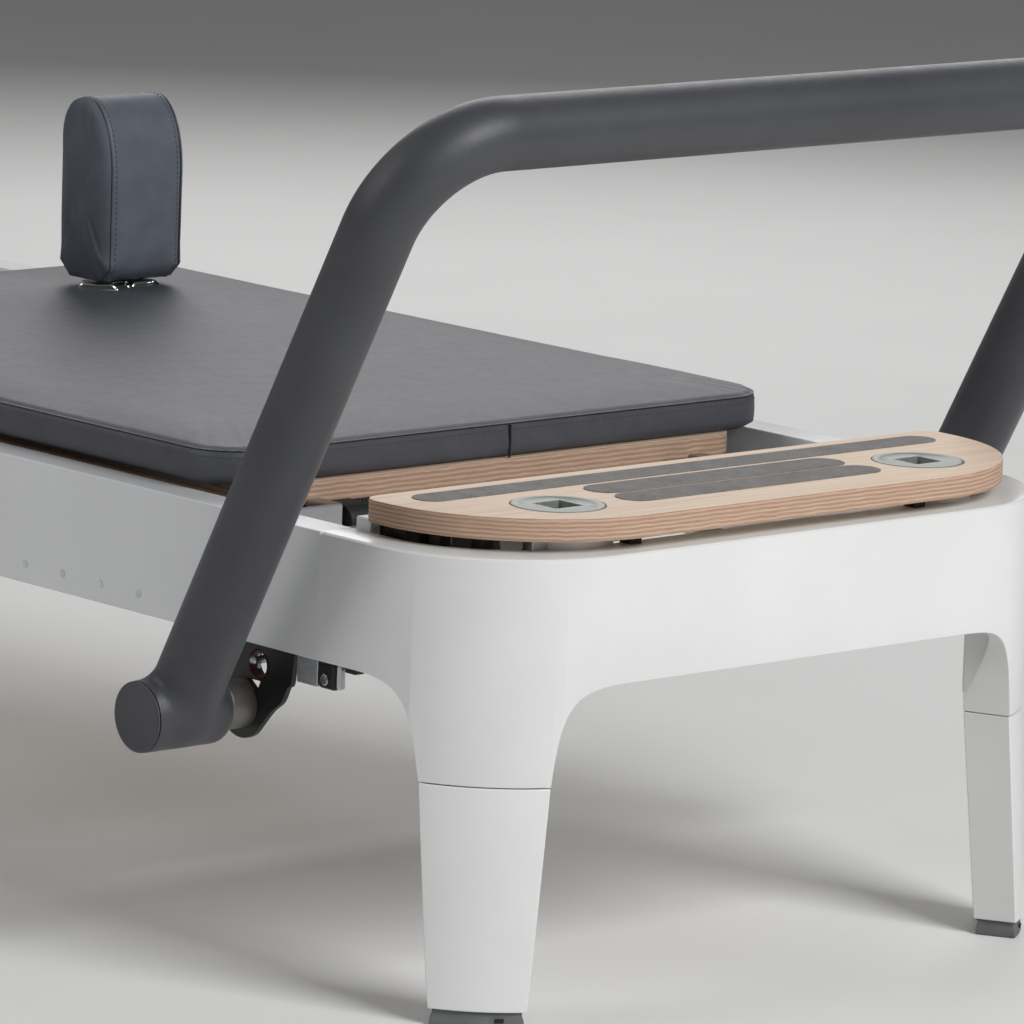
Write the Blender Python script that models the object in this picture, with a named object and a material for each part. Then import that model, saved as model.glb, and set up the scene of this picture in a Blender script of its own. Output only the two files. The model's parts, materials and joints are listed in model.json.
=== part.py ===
"""Pilates reformer: a sprung carriage on wheels between two side rails, with a tilting footbar.

+X points to the foot end, +Z up. The origin is on the floor, under the middle of the machine.
Distances called "from the foot end" are measured back from the outer face of that end.
"""

import math

import bmesh
import bpy
from mathutils import Matrix, Vector

# Outer frame.
LENGTH = 2.38
WIDTH = 0.68
RAIL_TOP = 0.378
RAIL_BOTTOM = 0.2726
CORNER_RADIUS = 0.138
END_DEPTH = 0.203
WALL = 0.010
SIDE_LIP = 0.033
END_LIP = 0.043
LIP_THICKNESS = 0.012
GAP = 0.0003

# Legs: lengths are measured along the rounded corner from its middle, on the side face and on
# the end face. Each fillet is a Bezier curve of (length, height) from the leg up to the frame.
LEG_SEAM = 0.194
LEG_TOP_HALVES = (0.0558, 0.0526)
LEG_FOOT_HALVES = (0.0412, 0.0395)
LEG_TOP_DEPTH = 0.042
LEG_FOOT_DEPTH = 0.0375
LEG_SPLAY = 0.007
LEG_STEPS = 8
SIDE_FILLET = ((0.0575, 0.203), (0.0655, 0.260), (0.078, RAIL_BOTTOM), (0.125, RAIL_BOTTOM))
END_FILLET = ((0.0536, 0.203), (0.0605, 0.260), (0.0715, RAIL_BOTTOM), (0.118, RAIL_BOTTOM))
FILLET_STEPS = 6
FILLET_THICKENING = 0.8
FOOT_PAD_HEIGHT = 0.0135
FOOT_PAD_INSET = 0.002

# Side rails: an open channel whose sheet is RAIL_SHEET thick.
RAIL_SHEET = 0.004
TRACK_INNER = 0.235
TRACK_TOP = 0.306
RAIL_FLANGE = 0.040

# Standing platform at the foot end.
PLATFORM_BACK = 0.183
PLATFORM_FRONT = 0.005
PLATFORM_HALF_WIDTH = 0.317
PLATFORM_TOP = 0.4068
PLATFORM_BOTTOM = 0.388
PLATFORM_FRONT_RADIUS = 0.150
PLATFORM_BACK_RADIUS = 0.017
SOCKET_FROM_FOOT = 0.077
SOCKET_Y = 0.2004
SOCKET_RADIUS = 0.0385
SOCKET_BOSS_RADIUS = 0.028
SOCKET_BOTTOM = 0.300
SOCKET_HOLE = 0.0285
SOCKET_HOLE_DEPTH = 0.085
SOCKET_RISE = 0.0004
GRIP_THICKNESS = 0.0012
GRIPS = ((0.133, 0.166, 0.287), (0.089, 0.127, 0.1395), (0.049, 0.086, 0.142))
CROSS_WALL = (0.182, 0.2025)
CROSS_WALL_BOTTOM = 0.345
HEAD_CROSS_WALL_TOP = 0.360

# Footbar, which turns about a pivot under the frame.
PIVOT_FROM_FOOT = 0.3048
PIVOT_Z = 0.2197
BAR_FROM_FOOT = 0.0304
BAR_Z = 0.716
BAR_RADIUS = 0.0294
BAR_ARM_Y = 0.4008
BAR_BEND = 0.087
TUBE_RADIUS = 0.0160
TUBE_BORE = 0.0130
HUB_INNER_Y = 0.360
HUB_OUTER_Y = 0.4395
END_CAP = 0.003
SHAFT_RADIUS = 0.0118
HUB_BORE = 0.0124
SHAFT_INNER_Y = 0.320

# Bracket and lock of the footbar.
BRACKET_Y = (0.3290, 0.334)
BRACKET_BOSS_RADIUS = 0.0205
BRACKET_ARC = 0.029
BRACKET_EDGE = ((0.0373, 0.2177), (0.0509, 0.2284), (0.0579, 0.2412), (0.0628, 0.2461))
BRACKET_TOP_REACH = 0.066
BRACKET_HOLE_Y = (0.30, 0.36)
BRACKET_WINDOW = (0.2840, 0.2550, 0.0125)
LOCK_PIN = (0.2855, 0.2585, 0.0035)
LOCK_KNOB_RADIUS = 0.010
LOCK_PIN_Y = (0.286, 0.298, 0.340)
LOCK_BLOCK = (0.1795, 0.2315)
LOCK_BLOCK_Y = (0.3285, 0.337)
LOCK_BLOCK_BOTTOM = 0.250
LOCK_BLOCK_BEVEL = 0.002

# Carriage at its rest place, against the foot-end stop.
CARRIAGE_FRONT = 0.364
CARRIAGE_BACK = 1.262
BOARD_HALF_WIDTH = 0.2664
BOARD_BOTTOM = 0.3633
BOARD_TOP = 0.3825
BOARD_RADIUS = 0.026
PAD_HALF_WIDTH = 0.311
PAD_TOP = 0.4185
PAD_RADIUS = 0.048
PAD_EDGE = 0.0067
CARRIER_Y = (0.2455, 0.2632, 0.2664)
CARRIER_Z = (0.312, 0.3585, 0.3630)
CARRIER_FRONT = 0.385
CARRIER_WEB_FRONT = 0.410
BUFFER_BACK = 0.400
BUFFER_Y = (0.176, 0.204)
BUFFER_Z = (0.345, 0.365)
BUFFER_RADIUS = 0.012
WHEEL_RADIUS = 0.0255
WHEEL_Y = (0.240, 0.262)
WHEEL_FROM_FOOT = (0.450, 1.130)
WHEEL_CLEARANCE = 0.0005
WHEEL_CROWN = 0.002
WHEEL_Z = TRACK_TOP + WHEEL_RADIUS + WHEEL_CLEARANCE
AXLE_HOLE = 0.005
AXLE_RADIUS = 0.0042

# Springs, between the spring bar across the rails and the anchor bar under the carriage.
SPRING_BAR = (0.317, 0.325)
SPRING_BAR_Z = (0.320, 0.350)
SPRING_BAR_HALF = 0.3065
SPRING_BAR_EAR = (0.222, 0.3705)
SPRING_Y = (-0.135, -0.045, 0.045, 0.135)
SPRING_Z = 0.336
SPRING_RADIUS = 0.011
SPRING_NECK = 0.004
SPRING_TAPER = 0.03
ANCHOR_BAR = (0.800, 0.812)
ANCHOR_BAR_Z = (0.320, 0.3630)

# Shoulder rests.
SHOULDER_FROM_FOOT = 1.110
SHOULDER_Y = 0.1674
SHOULDER_SIZE = (0.076, 0.0954)
SHOULDER_BOTTOM = 0.4268
SHOULDER_TOP = 0.5985
SHOULDER_ARCHES = (0.070, 0.045)
SHOULDER_SQUARING = 0.75
SHOULDER_CHAMFER = 0.014
SHOULDER_PLATE = (0.062, 0.060, 0.006)
SHOULDER_STEM = (0.030, 0.012)
STEM_CLEARANCE = 0.0006

# Headrest, hinged behind the carriage pad.
HEADREST_HINGE = (1.268, 0.3868)
HEADREST_FRONT = 1.274
HEADREST_BACK = 1.500
HEADREST_HALF_WIDTH = 0.150
HEADREST_RADII = (0.040, 0.010)
HEADREST_BOARD = 0.012
HEADREST_TILT = math.radians(34)

# Risers with pulleys at the head end.
RISER_FROM_FOOT = 2.270
RISER_Y = 0.184
RISER_RADIUS = 0.016
RISER_SLEEVE_RADIUS = 0.024
RISER_SLEEVE_Z = (0.275, 0.392)
RISER_POST_Z = (0.262, 0.560)
RISER_CLEARANCE = 0.0005
RISER_ARM_HALF = 0.014
RISER_ARM_Z = (0.285, 0.325)
PULLEY_Z = 0.600
PULLEY_RADIUS = 0.036
PULLEY_GROOVE = 0.029
PULLEY_HALF = 0.009
PULLEY_RIM = 0.003
PULLEY_CLEARANCE = 0.001
CHEEK = 0.004
CHEEK_HALF = 0.012


def from_foot(distance):
    return LENGTH / 2 - distance


def clear_scene():
    for obj in list(bpy.data.objects):
        bpy.data.objects.remove(obj, do_unlink=True)


def linear(channel):
    value = channel / 255
    return value / 12.92 if value <= 0.04045 else ((value + 0.055) / 1.055) ** 2.4


def make_look(name, colour, roughness, metallic=0.0):
    look = bpy.data.materials.new(name)
    look.use_nodes = True
    shader = look.node_tree.nodes["Principled BSDF"]
    shader.inputs["Base Color"].default_value = [linear(c) for c in colour] + [1.0]
    shader.inputs["Roughness"].default_value = roughness
    shader.inputs["Metallic"].default_value = metallic
    return look


def make_looks():
    return {
        "white": make_look("white_coat", (222, 223, 222), 0.45),
        "rail": make_look("rail_aluminium", (218, 219, 221), 0.45),
        "rubber": make_look("rubber", (88, 90, 90), 0.80),
        "black": make_look("black_plastic", (24, 24, 26), 0.50),
        "ply": make_look("plywood", (214, 190, 170), 0.50),
        "socket": make_look("socket_steel", (146, 149, 145), 0.40, 0.6),
        "grip": make_look("grip_strip", (140, 137, 134), 0.85),
        "cover": make_look("footbar_cover", (78, 79, 84), 0.55),
        "steel": make_look("steel", (190, 192, 194), 0.30, 1.0),
        "vinyl": make_look("vinyl", (120, 121, 126), 0.50),
        "dark_vinyl": make_look("dark_vinyl", (46, 47, 52), 0.50),
        "spring": make_look("spring_steel", (70, 72, 75), 0.40, 0.6),
    }


def add_object(name, bm, look, origin=(0, 0, 0), parent=None):
    """Makes a mesh object whose own origin is at the given point."""
    bmesh.ops.recalc_face_normals(bm, faces=bm.faces)
    bmesh.ops.translate(bm, verts=bm.verts, vec=-Vector(origin))
    mesh = bpy.data.meshes.new(name)
    bm.to_mesh(mesh)
    bm.free()
    mesh.shade_smooth()
    mesh.set_sharp_from_angle(angle=math.radians(35))
    obj = bpy.data.objects.new(name, mesh)
    bpy.context.scene.collection.objects.link(obj)
    obj.location = origin
    if look:
        mesh.materials.append(look)
    if parent:
        obj.parent = parent
        obj.matrix_parent_inverse = Matrix.Translation(-parent.location)
    return obj


def add_axis(name, location):
    """An empty on a joint's axis, which carries the pieces that move together."""
    axis = bpy.data.objects.new(name, None)
    bpy.context.scene.collection.objects.link(axis)
    axis.location = location
    return axis


def boolean(obj, bm, operation="DIFFERENCE"):
    """Cuts, or joins on, a hidden helper shape that is placed like the object."""
    helper = add_object(f"{obj.name}_helper", bm, None, obj.location, obj.parent)
    helper.hide_render = True
    helper.display_type = "WIRE"
    modifier = obj.modifiers.new(operation.title(), "BOOLEAN")
    modifier.operation = operation
    modifier.solver = "EXACT"
    modifier.object = helper


def loft(rings):
    """Skins rings of points that match one to one, with a cap on each end."""
    bm = bmesh.new()
    loops = [[bm.verts.new(point) for point in ring] for ring in rings]
    count = len(loops[0])
    for first, second in zip(loops, loops[1:]):
        for i in range(count):
            j = (i + 1) % count
            bm.faces.new((first[i], first[j], second[j], second[i]))
    bm.faces.new(loops[0])
    bm.faces.new(loops[-1])
    return bm


def place(axis, a, b, height):
    """A point of an outline (a, b) at a height along the given axis."""
    return {"X": (height, a, b), "Y": (a, height, b), "Z": (a, b, height)}[axis]


def prism(outline, low, high, axis="Z"):
    return loft([[place(axis, a, b, h) for a, b in outline] for h in (low, high)])


def block(low, high):
    outline = [(low[0], low[1]), (high[0], low[1]), (high[0], high[1]), (low[0], high[1])]
    return prism(outline, low[2], high[2])


def arc(centre, radius, start, end, steps):
    """Points of an arc between two angles in degrees."""
    angles = [math.radians(start + (end - start) * i / steps) for i in range(steps + 1)]
    return [(centre[0] + radius * math.cos(t), centre[1] + radius * math.sin(t)) for t in angles]


def circle(centre, radius, sides):
    return arc(centre, radius, 0, 360, sides)[:-1]


def rounded_rectangle(low, high, low_radius, high_radius, steps):
    """A rectangle with one corner radius at its low-x end and another at its high-x end."""
    corners = (
        ((high[0] - high_radius, low[1] + high_radius), high_radius, 270),
        ((high[0] - high_radius, high[1] - high_radius), high_radius, 0),
        ((low[0] + low_radius, high[1] - low_radius), low_radius, 90),
        ((low[0] + low_radius, low[1] + low_radius), low_radius, 180),
    )
    return [p for centre, r, a in corners for p in arc(centre, r, a, a + 90, steps)]


def lathe(profile, centre, axis, sides):
    """A solid turned from (height, radius) pairs along an axis through a point."""
    return loft([[place(axis, a, b, h) for a, b in circle(centre, r, sides)] for h, r in profile])


def ring_solid(profile, centre, axis, sides):
    """A turned solid with a bore, from a closed profile of (height, radius) pairs."""
    bm = bmesh.new()
    loops = []
    for height, radius in profile:
        loops.append([bm.verts.new(place(axis, a, b, height)) for a, b in circle(centre, radius, sides)])
    for first, second in zip(loops, loops[1:] + loops[:1]):
        for i in range(sides):
            j = (i + 1) % sides
            bm.faces.new((first[i], first[j], second[j], second[i]))
    return bm


# The end frames are swept round the corner. A place on the outline is its distance from the
# middle of the corner: less than zero on the side face, more than zero on the end face.

HALF_ARC = CORNER_RADIUS * math.pi / 4


def outline_place(s):
    """(from the end face, from the side face) of an outline point, and its inward direction."""
    if s <= -HALF_ARC:
        return Vector((CORNER_RADIUS - HALF_ARC - s, 0)), Vector((0, 1))
    if s >= HALF_ARC:
        return Vector((0, CORNER_RADIUS - HALF_ARC + s)), Vector((1, 0))
    angle = math.pi / 4 + s / CORNER_RADIUS
    inward = Vector((math.sin(angle), math.cos(angle)))
    return Vector((CORNER_RADIUS, CORNER_RADIUS)) - CORNER_RADIUS * inward, inward


def curve_point(points, t):
    """A point of a cubic Bezier curve."""
    shares = ((1 - t) ** 3, 3 * t * (1 - t) ** 2, 3 * t * t * (1 - t), t**3)
    return [sum(share * point[i] for share, point in zip(shares, points)) for i in (0, 1)]


def fillet_stations(fillet, sign):
    """Stations from a leg up to the frame's level edge, where the leg's depth fades out."""
    stations = []
    for i in range(FILLET_STEPS + 1):
        t = i / FILLET_STEPS
        length, height = curve_point(fillet, t)
        fade = max(0, 1 - t / FILLET_THICKENING) ** 2
        stations.append((sign * length, height, WALL + (LEG_TOP_DEPTH - WALL) * fade))
    return stations


def leg_places(halves):
    side_half, end_half = halves
    return [(side_half + end_half) * i / LEG_STEPS - side_half for i in range(LEG_STEPS + 1)]


def wall_stations():
    """(place, lower edge, depth) from the seam with the side rail to the middle of the end."""
    seam = -HALF_ARC - (END_DEPTH - CORNER_RADIUS)
    middle = HALF_ARC + WIDTH / 2 - CORNER_RADIUS
    leg = [(s, LEG_SEAM, LEG_TOP_DEPTH) for s in leg_places(LEG_TOP_HALVES)]
    side_fillet = fillet_stations(SIDE_FILLET, -1)[::-1]
    end_fillet = fillet_stations(END_FILLET, 1)
    ends = ((seam, RAIL_BOTTOM, WALL), (middle, RAIL_BOTTOM, WALL))
    return [ends[0]] + side_fillet + leg + end_fillet + [ends[1]]


def wall_section(station):
    """The end frame's section: (depth inward, height) pairs."""
    s, bottom, depth = station
    lip = SIDE_LIP + (END_LIP - SIDE_LIP) * min(1, max(0, (s + HALF_ARC) / HALF_ARC))
    under_lip = RAIL_TOP - LIP_THICKNESS
    return (
        (0, bottom),
        (0, RAIL_TOP),
        (lip, RAIL_TOP),
        (lip, under_lip),
        (depth, under_lip),
        (depth, bottom),
    )


def corner_point(end, side, along, height):
    """World point of (from the end face, from the side face) at one corner of the frame."""
    return (end * (LENGTH / 2 - along[0]), side * (WIDTH / 2 - along[1]), height)


def wall_ring(end, side, station):
    point, inward = outline_place(station[0])
    return [corner_point(end, side, point + inward * d, h) for d, h in wall_section(station)]


def make_end_frame(name, end, look):
    stations = wall_stations()
    rings = [wall_ring(end, -1, station) for station in stations]
    rings += [wall_ring(end, 1, station) for station in reversed(stations[:-1])]
    frame = add_object(name, loft(rings), look)
    near, far = sorted(end * from_foot(d) for d in CROSS_WALL)
    half = WIDTH / 2 - WALL / 2
    boolean(frame, block((near, -half, CROSS_WALL_BOTTOM), (far, half, HEAD_CROSS_WALL_TOP)), "UNION")
    if end > 0:
        half = WIDTH / 2 - SIDE_LIP - 0.002
        low = (near + 0.002, -half, HEAD_CROSS_WALL_TOP - 0.004)
        boolean(frame, block(low, (far - 0.002, half, PLATFORM_BOTTOM - GAP)), "UNION")


def leg_ring(end, side, halves, depth, height, inset=0.0):
    """A leg's outline at a height: its outer side is the rounded corner, moved out by the splay."""
    splay = LEG_SPLAY * (LEG_SEAM - height) / LEG_SEAM
    outer = []
    inner = []
    for s in leg_places([half - inset for half in halves]):
        point, inward = outline_place(s)
        point = point - Vector((splay, splay))
        outer.append(corner_point(end, side, point + inward * inset, height))
        inner.append(corner_point(end, side, point + inward * (depth - inset), height))
    return outer + inner[::-1]


def make_legs(looks):
    foot = FOOT_PAD_HEIGHT + GAP
    for end, end_name in ((1, "foot"), (-1, "head")):
        for side, side_name in ((-1, "left"), (1, "right")):
            leg = loft([
                leg_ring(end, side, LEG_FOOT_HALVES, LEG_FOOT_DEPTH, foot),
                leg_ring(end, side, LEG_TOP_HALVES, LEG_TOP_DEPTH, LEG_SEAM - GAP),
            ])
            add_object(f"leg_{end_name}_{side_name}", leg, looks["white"])
            pad = loft([
                leg_ring(end, side, LEG_FOOT_HALVES, LEG_FOOT_DEPTH, z, FOOT_PAD_INSET)
                for z in (0, FOOT_PAD_HEIGHT)
            ])
            add_object(f"foot_pad_{end_name}_{side_name}", pad, looks["rubber"])


def rail_profile(side):
    """The channel's section as (y, z): outer wall, lip, inner wall, track and lower flange."""
    outer = WIDTH / 2
    inner = outer - SIDE_LIP
    sheet = RAIL_SHEET
    points = (
        (outer, RAIL_BOTTOM),
        (outer, RAIL_TOP),
        (inner, RAIL_TOP),
        (inner, TRACK_TOP),
        (TRACK_INNER, TRACK_TOP),
        (TRACK_INNER, TRACK_TOP - sheet),
        (inner + sheet, TRACK_TOP - sheet),
        (inner + sheet, RAIL_TOP - sheet),
        (outer - sheet, RAIL_TOP - sheet),
        (outer - sheet, RAIL_BOTTOM + sheet),
        (outer - RAIL_FLANGE, RAIL_BOTTOM + sheet),
        (outer - RAIL_FLANGE, RAIL_BOTTOM),
    )
    return [(side * y, z) for y, z in points]


def make_side_rails(looks):
    reach = LENGTH / 2 - END_DEPTH - GAP
    for side, name in ((-1, "left"), (1, "right")):
        rail = prism(rail_profile(side), -reach, reach, "X")
        add_object(f"side_rail_{name}", rail, looks["rail"])


def make_platform(looks):
    low = (from_foot(PLATFORM_BACK), -PLATFORM_HALF_WIDTH)
    high = (from_foot(PLATFORM_FRONT), PLATFORM_HALF_WIDTH)
    outline = rounded_rectangle(low, high, PLATFORM_BACK_RADIUS, PLATFORM_FRONT_RADIUS, 8)
    slab = prism(outline, PLATFORM_BOTTOM, PLATFORM_TOP)
    platform = add_object("standing_platform", slab, looks["ply"])
    x = from_foot(SOCKET_FROM_FOOT)
    for side, name in ((-1, "left"), (1, "right")):
        centre = (x, side * SOCKET_Y)
        hole = circle(centre, SOCKET_RADIUS + GAP, 24)
        boolean(platform, prism(hole, PLATFORM_BOTTOM - 0.01, PLATFORM_TOP + 0.01))
        profile = (
            (SOCKET_BOTTOM, SOCKET_BOSS_RADIUS),
            (PLATFORM_BOTTOM, SOCKET_BOSS_RADIUS),
            (PLATFORM_BOTTOM, SOCKET_RADIUS),
            (PLATFORM_TOP + SOCKET_RISE, SOCKET_RADIUS),
        )
        insert = lathe(profile, centre, "Z", 24)
        socket = add_object(f"platform_socket_{name}", insert, looks["socket"])
        half = SOCKET_HOLE / 2
        floor = PLATFORM_TOP - SOCKET_HOLE_DEPTH
        low_corner = (x - half, centre[1] - half, floor)
        high_corner = (x + half, centre[1] + half, PLATFORM_TOP + 0.01)
        boolean(socket, block(low_corner, high_corner))


def make_grips(looks):
    low = PLATFORM_TOP + GAP
    for (near, far, half), name in zip(GRIPS, ("back", "middle", "front")):
        radius = (far - near) / 2 - 0.0001
        low_corner = (from_foot(far), -half)
        high_corner = (from_foot(near), half)
        outline = rounded_rectangle(low_corner, high_corner, radius, radius, 5)
        strip = prism(outline, low, low + GRIP_THICKNESS)
        add_object(f"grip_strip_{name}", strip, looks["grip"])


def bar_path():
    """Centre line of the footbar as (sideways, up the arm), from pivot to pivot."""
    reach = math.hypot(BAR_FROM_FOOT - PIVOT_FROM_FOOT, BAR_Z - PIVOT_Z)
    inner = BAR_ARM_Y - BAR_BEND
    left = arc((-inner, reach - BAR_BEND), BAR_BEND, 180, 90, 6)
    right = arc((inner, reach - BAR_BEND), BAR_BEND, 90, 0, 6)
    return [(-BAR_ARM_Y, 0)] + left + right + [(BAR_ARM_Y, 0)]


def bar_rings(radius, sides):
    """Rings round the footbar's centre line, which lies in one tilted plane."""
    pivot = Vector((from_foot(PIVOT_FROM_FOOT), 0, PIVOT_Z))
    up = (Vector((from_foot(BAR_FROM_FOOT), 0, BAR_Z)) - pivot).normalized()
    sideways = Vector((0, 1, 0))
    across = sideways.cross(up)
    path = bar_path()
    rings = []
    for i, (y, t) in enumerate(path):
        before = Vector(path[max(i - 1, 0)])
        after = Vector(path[min(i + 1, len(path) - 1)])
        if 0 < i < len(path) - 1:
            step = (after - Vector((y, t))).normalized() + (Vector((y, t)) - before).normalized()
        else:
            step = after - before
        step.normalize()
        outward = up * step.x - sideways * step.y
        centre = pivot + sideways * y + up * t
        rings.append([centre + outward * a + across * b for a, b in circle((0, 0), radius, sides)])
    return rings


def hollow_sweep(outer, inner):
    """A tube between two sets of matching rings, with flat ring ends."""
    bm = bmesh.new()
    outer_loops = [[bm.verts.new(p) for p in ring] for ring in outer]
    inner_loops = [[bm.verts.new(p) for p in ring] for ring in inner]
    loops = outer_loops + inner_loops[::-1]
    count = len(outer[0])
    for first, second in zip(loops, loops[1:] + loops[:1]):
        for i in range(count):
            j = (i + 1) % count
            bm.faces.new((first[i], first[j], second[j], second[i]))
    return bm


def make_footbar(looks):
    pivot = (from_foot(PIVOT_FROM_FOOT), 0, PIVOT_Z)
    axis = add_axis("footbar_axis", pivot)
    sides = 14
    cover_rings = bar_rings(BAR_RADIUS, sides)
    cover = hollow_sweep(cover_rings, bar_rings(TUBE_RADIUS + GAP, sides))
    tube = hollow_sweep(bar_rings(TUBE_RADIUS, sides), bar_rings(TUBE_BORE, sides))
    pieces = (
        add_object("footbar_cover", cover, looks["cover"], pivot, axis),
        add_object("footbar_tube", tube, looks["steel"], pivot, axis),
    )
    centre = (pivot[0], pivot[2])
    for side, name in ((-1, "left"), (1, "right")):
        for piece in pieces:
            ends = sorted((side * (HUB_INNER_Y - 0.01), side * (HUB_OUTER_Y + 0.01)))
            saddle = prism(circle(centre, BAR_RADIUS + 0.0006, 24), *ends, "Y")
            boolean(piece, saddle)
        profile = [(HUB_INNER_Y, HUB_BORE), (HUB_INNER_Y, BAR_RADIUS)]
        profile += [(HUB_OUTER_Y, BAR_RADIUS), (HUB_OUTER_Y, HUB_BORE)]
        profile = [(side * y, r) for y, r in profile]
        hub = ring_solid(profile, centre, "Y", 20)
        add_object(f"footbar_hub_{name}", hub, looks["cover"], pivot, axis)
        cap = prism(
            circle(centre, BAR_RADIUS, 20),
            side * (HUB_OUTER_Y + GAP),
            side * (HUB_OUTER_Y + END_CAP),
            "Y",
        )
        add_object(f"footbar_end_cap_{name}", cap, looks["black"], pivot, axis)
        shaft_end = HUB_OUTER_Y - 0.001
        shaft = prism(circle(centre, SHAFT_RADIUS, 16), side * SHAFT_INNER_Y, side * shaft_end, "Y")
        add_object(f"footbar_shaft_{name}", shaft, looks["steel"])


def bracket_outline():
    """Side plate under the frame: round below the pivot, and sloping up to its front end."""
    x = from_foot(PIVOT_FROM_FOOT)
    top = RAIL_BOTTOM - GAP
    low = arc((x, PIVOT_Z), BRACKET_ARC, 150, 315, 8)
    front = [(x + reach, z) for reach, z in BRACKET_EDGE]
    return low + front + [(x + BRACKET_TOP_REACH, top), (x - BRACKET_ARC, top)]


def make_brackets(looks):
    pivot = (from_foot(PIVOT_FROM_FOOT), PIVOT_Z)
    for side, name in ((-1, "left"), (1, "right")):
        inner, outer = (side * y for y in BRACKET_Y)
        ends = [side * y for y in BRACKET_HOLE_Y]
        plate = prism(bracket_outline(), inner, outer, "Y")
        bracket = add_object(f"footbar_bracket_{name}", plate, looks["black"])
        boss_ends = (inner + side * 0.002, side * (HUB_INNER_Y - GAP))
        boolean(bracket, prism(circle(pivot, BRACKET_BOSS_RADIUS, 16), *boss_ends, "Y"), "UNION")
        boolean(bracket, prism(circle(pivot, SHAFT_RADIUS + GAP, 16), *ends, "Y"))
        distance, z, radius = BRACKET_WINDOW
        boolean(bracket, prism(circle((from_foot(distance), z), radius, 16), *ends, "Y"))
        make_lock(side, name, looks)


def make_lock(side, name, looks):
    """The footbar's lock: a sprung pin through the bracket's window, and a block beside it."""
    distance, z, radius = LOCK_PIN
    x = from_foot(distance)
    start, step, end = (side * y for y in LOCK_PIN_Y)
    profile = ((start, LOCK_KNOB_RADIUS), (step, LOCK_KNOB_RADIUS), (step, radius), (end, radius))
    pin = lathe(profile, (x, z), "Y", 12)
    add_object(f"lock_pin_{name}", pin, looks["steel"], (x, side * BRACKET_Y[0], z))
    low, high = sorted(side * y for y in LOCK_BLOCK_Y)
    near, far = LOCK_BLOCK
    top = RAIL_BOTTOM - GAP
    lock = block((from_foot(far), low, LOCK_BLOCK_BOTTOM), (from_foot(near), high, top))
    bmesh.ops.bevel(lock, geom=lock.edges, offset=LOCK_BLOCK_BEVEL, segments=1, affect="EDGES")
    add_object(f"lock_block_{name}", lock, looks["black"])


def stem_hole(side):
    """The slot in the board and pad that a shoulder rest's stem drops into."""
    x = from_foot(SHOULDER_FROM_FOOT)
    half_x = SHOULDER_STEM[0] / 2 + STEM_CLEARANCE
    half_y = SHOULDER_STEM[1] / 2 + STEM_CLEARANCE
    y = side * SHOULDER_Y
    low = (x - half_x, y - half_y, BOARD_BOTTOM - 0.01)
    return block(low, (x + half_x, y + half_y, PAD_TOP + 0.01))


def make_pad(name, low, high, radii, look, origin, parent, slope=0.0):
    """An upholstered slab with a softened top edge; slope leans its high-x face back."""
    bottom = BOARD_TOP + GAP
    rings = []
    for z, inset in ((bottom, 0.0), (PAD_TOP - PAD_EDGE, 0.0), (PAD_TOP, PAD_EDGE * 0.8)):
        lean = (z - bottom) * math.tan(slope)
        ring_low = (low[0] + inset, low[1] + inset)
        ring_high = (high[0] - inset - lean, high[1] - inset)
        outline = rounded_rectangle(ring_low, ring_high, radii[0] - inset, radii[1] - inset, 5)
        rings.append([(a, b, z) for a, b in outline])
    return add_object(name, loft(rings), look, origin, parent)


def make_carrier(side, name, look, axis):
    """Side angle of the carriage: a flange under the board, a web and the wheels' axles."""
    inner, web, outer = (side * y for y in CARRIER_Y)
    bottom, flange, top = CARRIER_Z
    back = from_foot(CARRIAGE_BACK)
    near, far = sorted((inner, outer))
    bar = block((back, near, flange), (from_foot(CARRIER_FRONT), far, top))
    carrier = add_object(f"wheel_carrier_{name}", bar, look, axis.location, axis)
    near, far = sorted((web, outer))
    web_low = (back + 0.002, near, bottom)
    web_high = (from_foot(CARRIER_WEB_FRONT), far, flange + 0.002)
    boolean(carrier, block(web_low, web_high), "UNION")
    for distance in WHEEL_FROM_FOOT:
        end = circle((from_foot(distance), WHEEL_Z), AXLE_RADIUS, 12)
        axle = prism(end, side * (WHEEL_Y[0] + 0.001), side * (CARRIER_Y[1] + 0.001), "Y")
        boolean(carrier, axle, "UNION")


def make_buffer(side, name, look, axis):
    """Rubber buffer under the board's front edge, which meets the spring bar."""
    back = from_foot(BUFFER_BACK)
    step = from_foot(CARRIAGE_FRONT) + GAP
    front = from_foot(SPRING_BAR[1] + 2 * GAP)
    bottom, top = BUFFER_Z
    under = BOARD_BOTTOM - GAP
    outline = [(back, bottom), (front, bottom)]
    outline += arc((front - BUFFER_RADIUS, top - BUFFER_RADIUS), BUFFER_RADIUS, 0, 90, 5)
    outline += [(step, top), (step, under), (back, under)]
    buffer = prism(outline, side * BUFFER_Y[0], side * BUFFER_Y[1], "Y")
    add_object(f"carriage_buffer_{name}", buffer, look, axis.location, axis)


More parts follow.
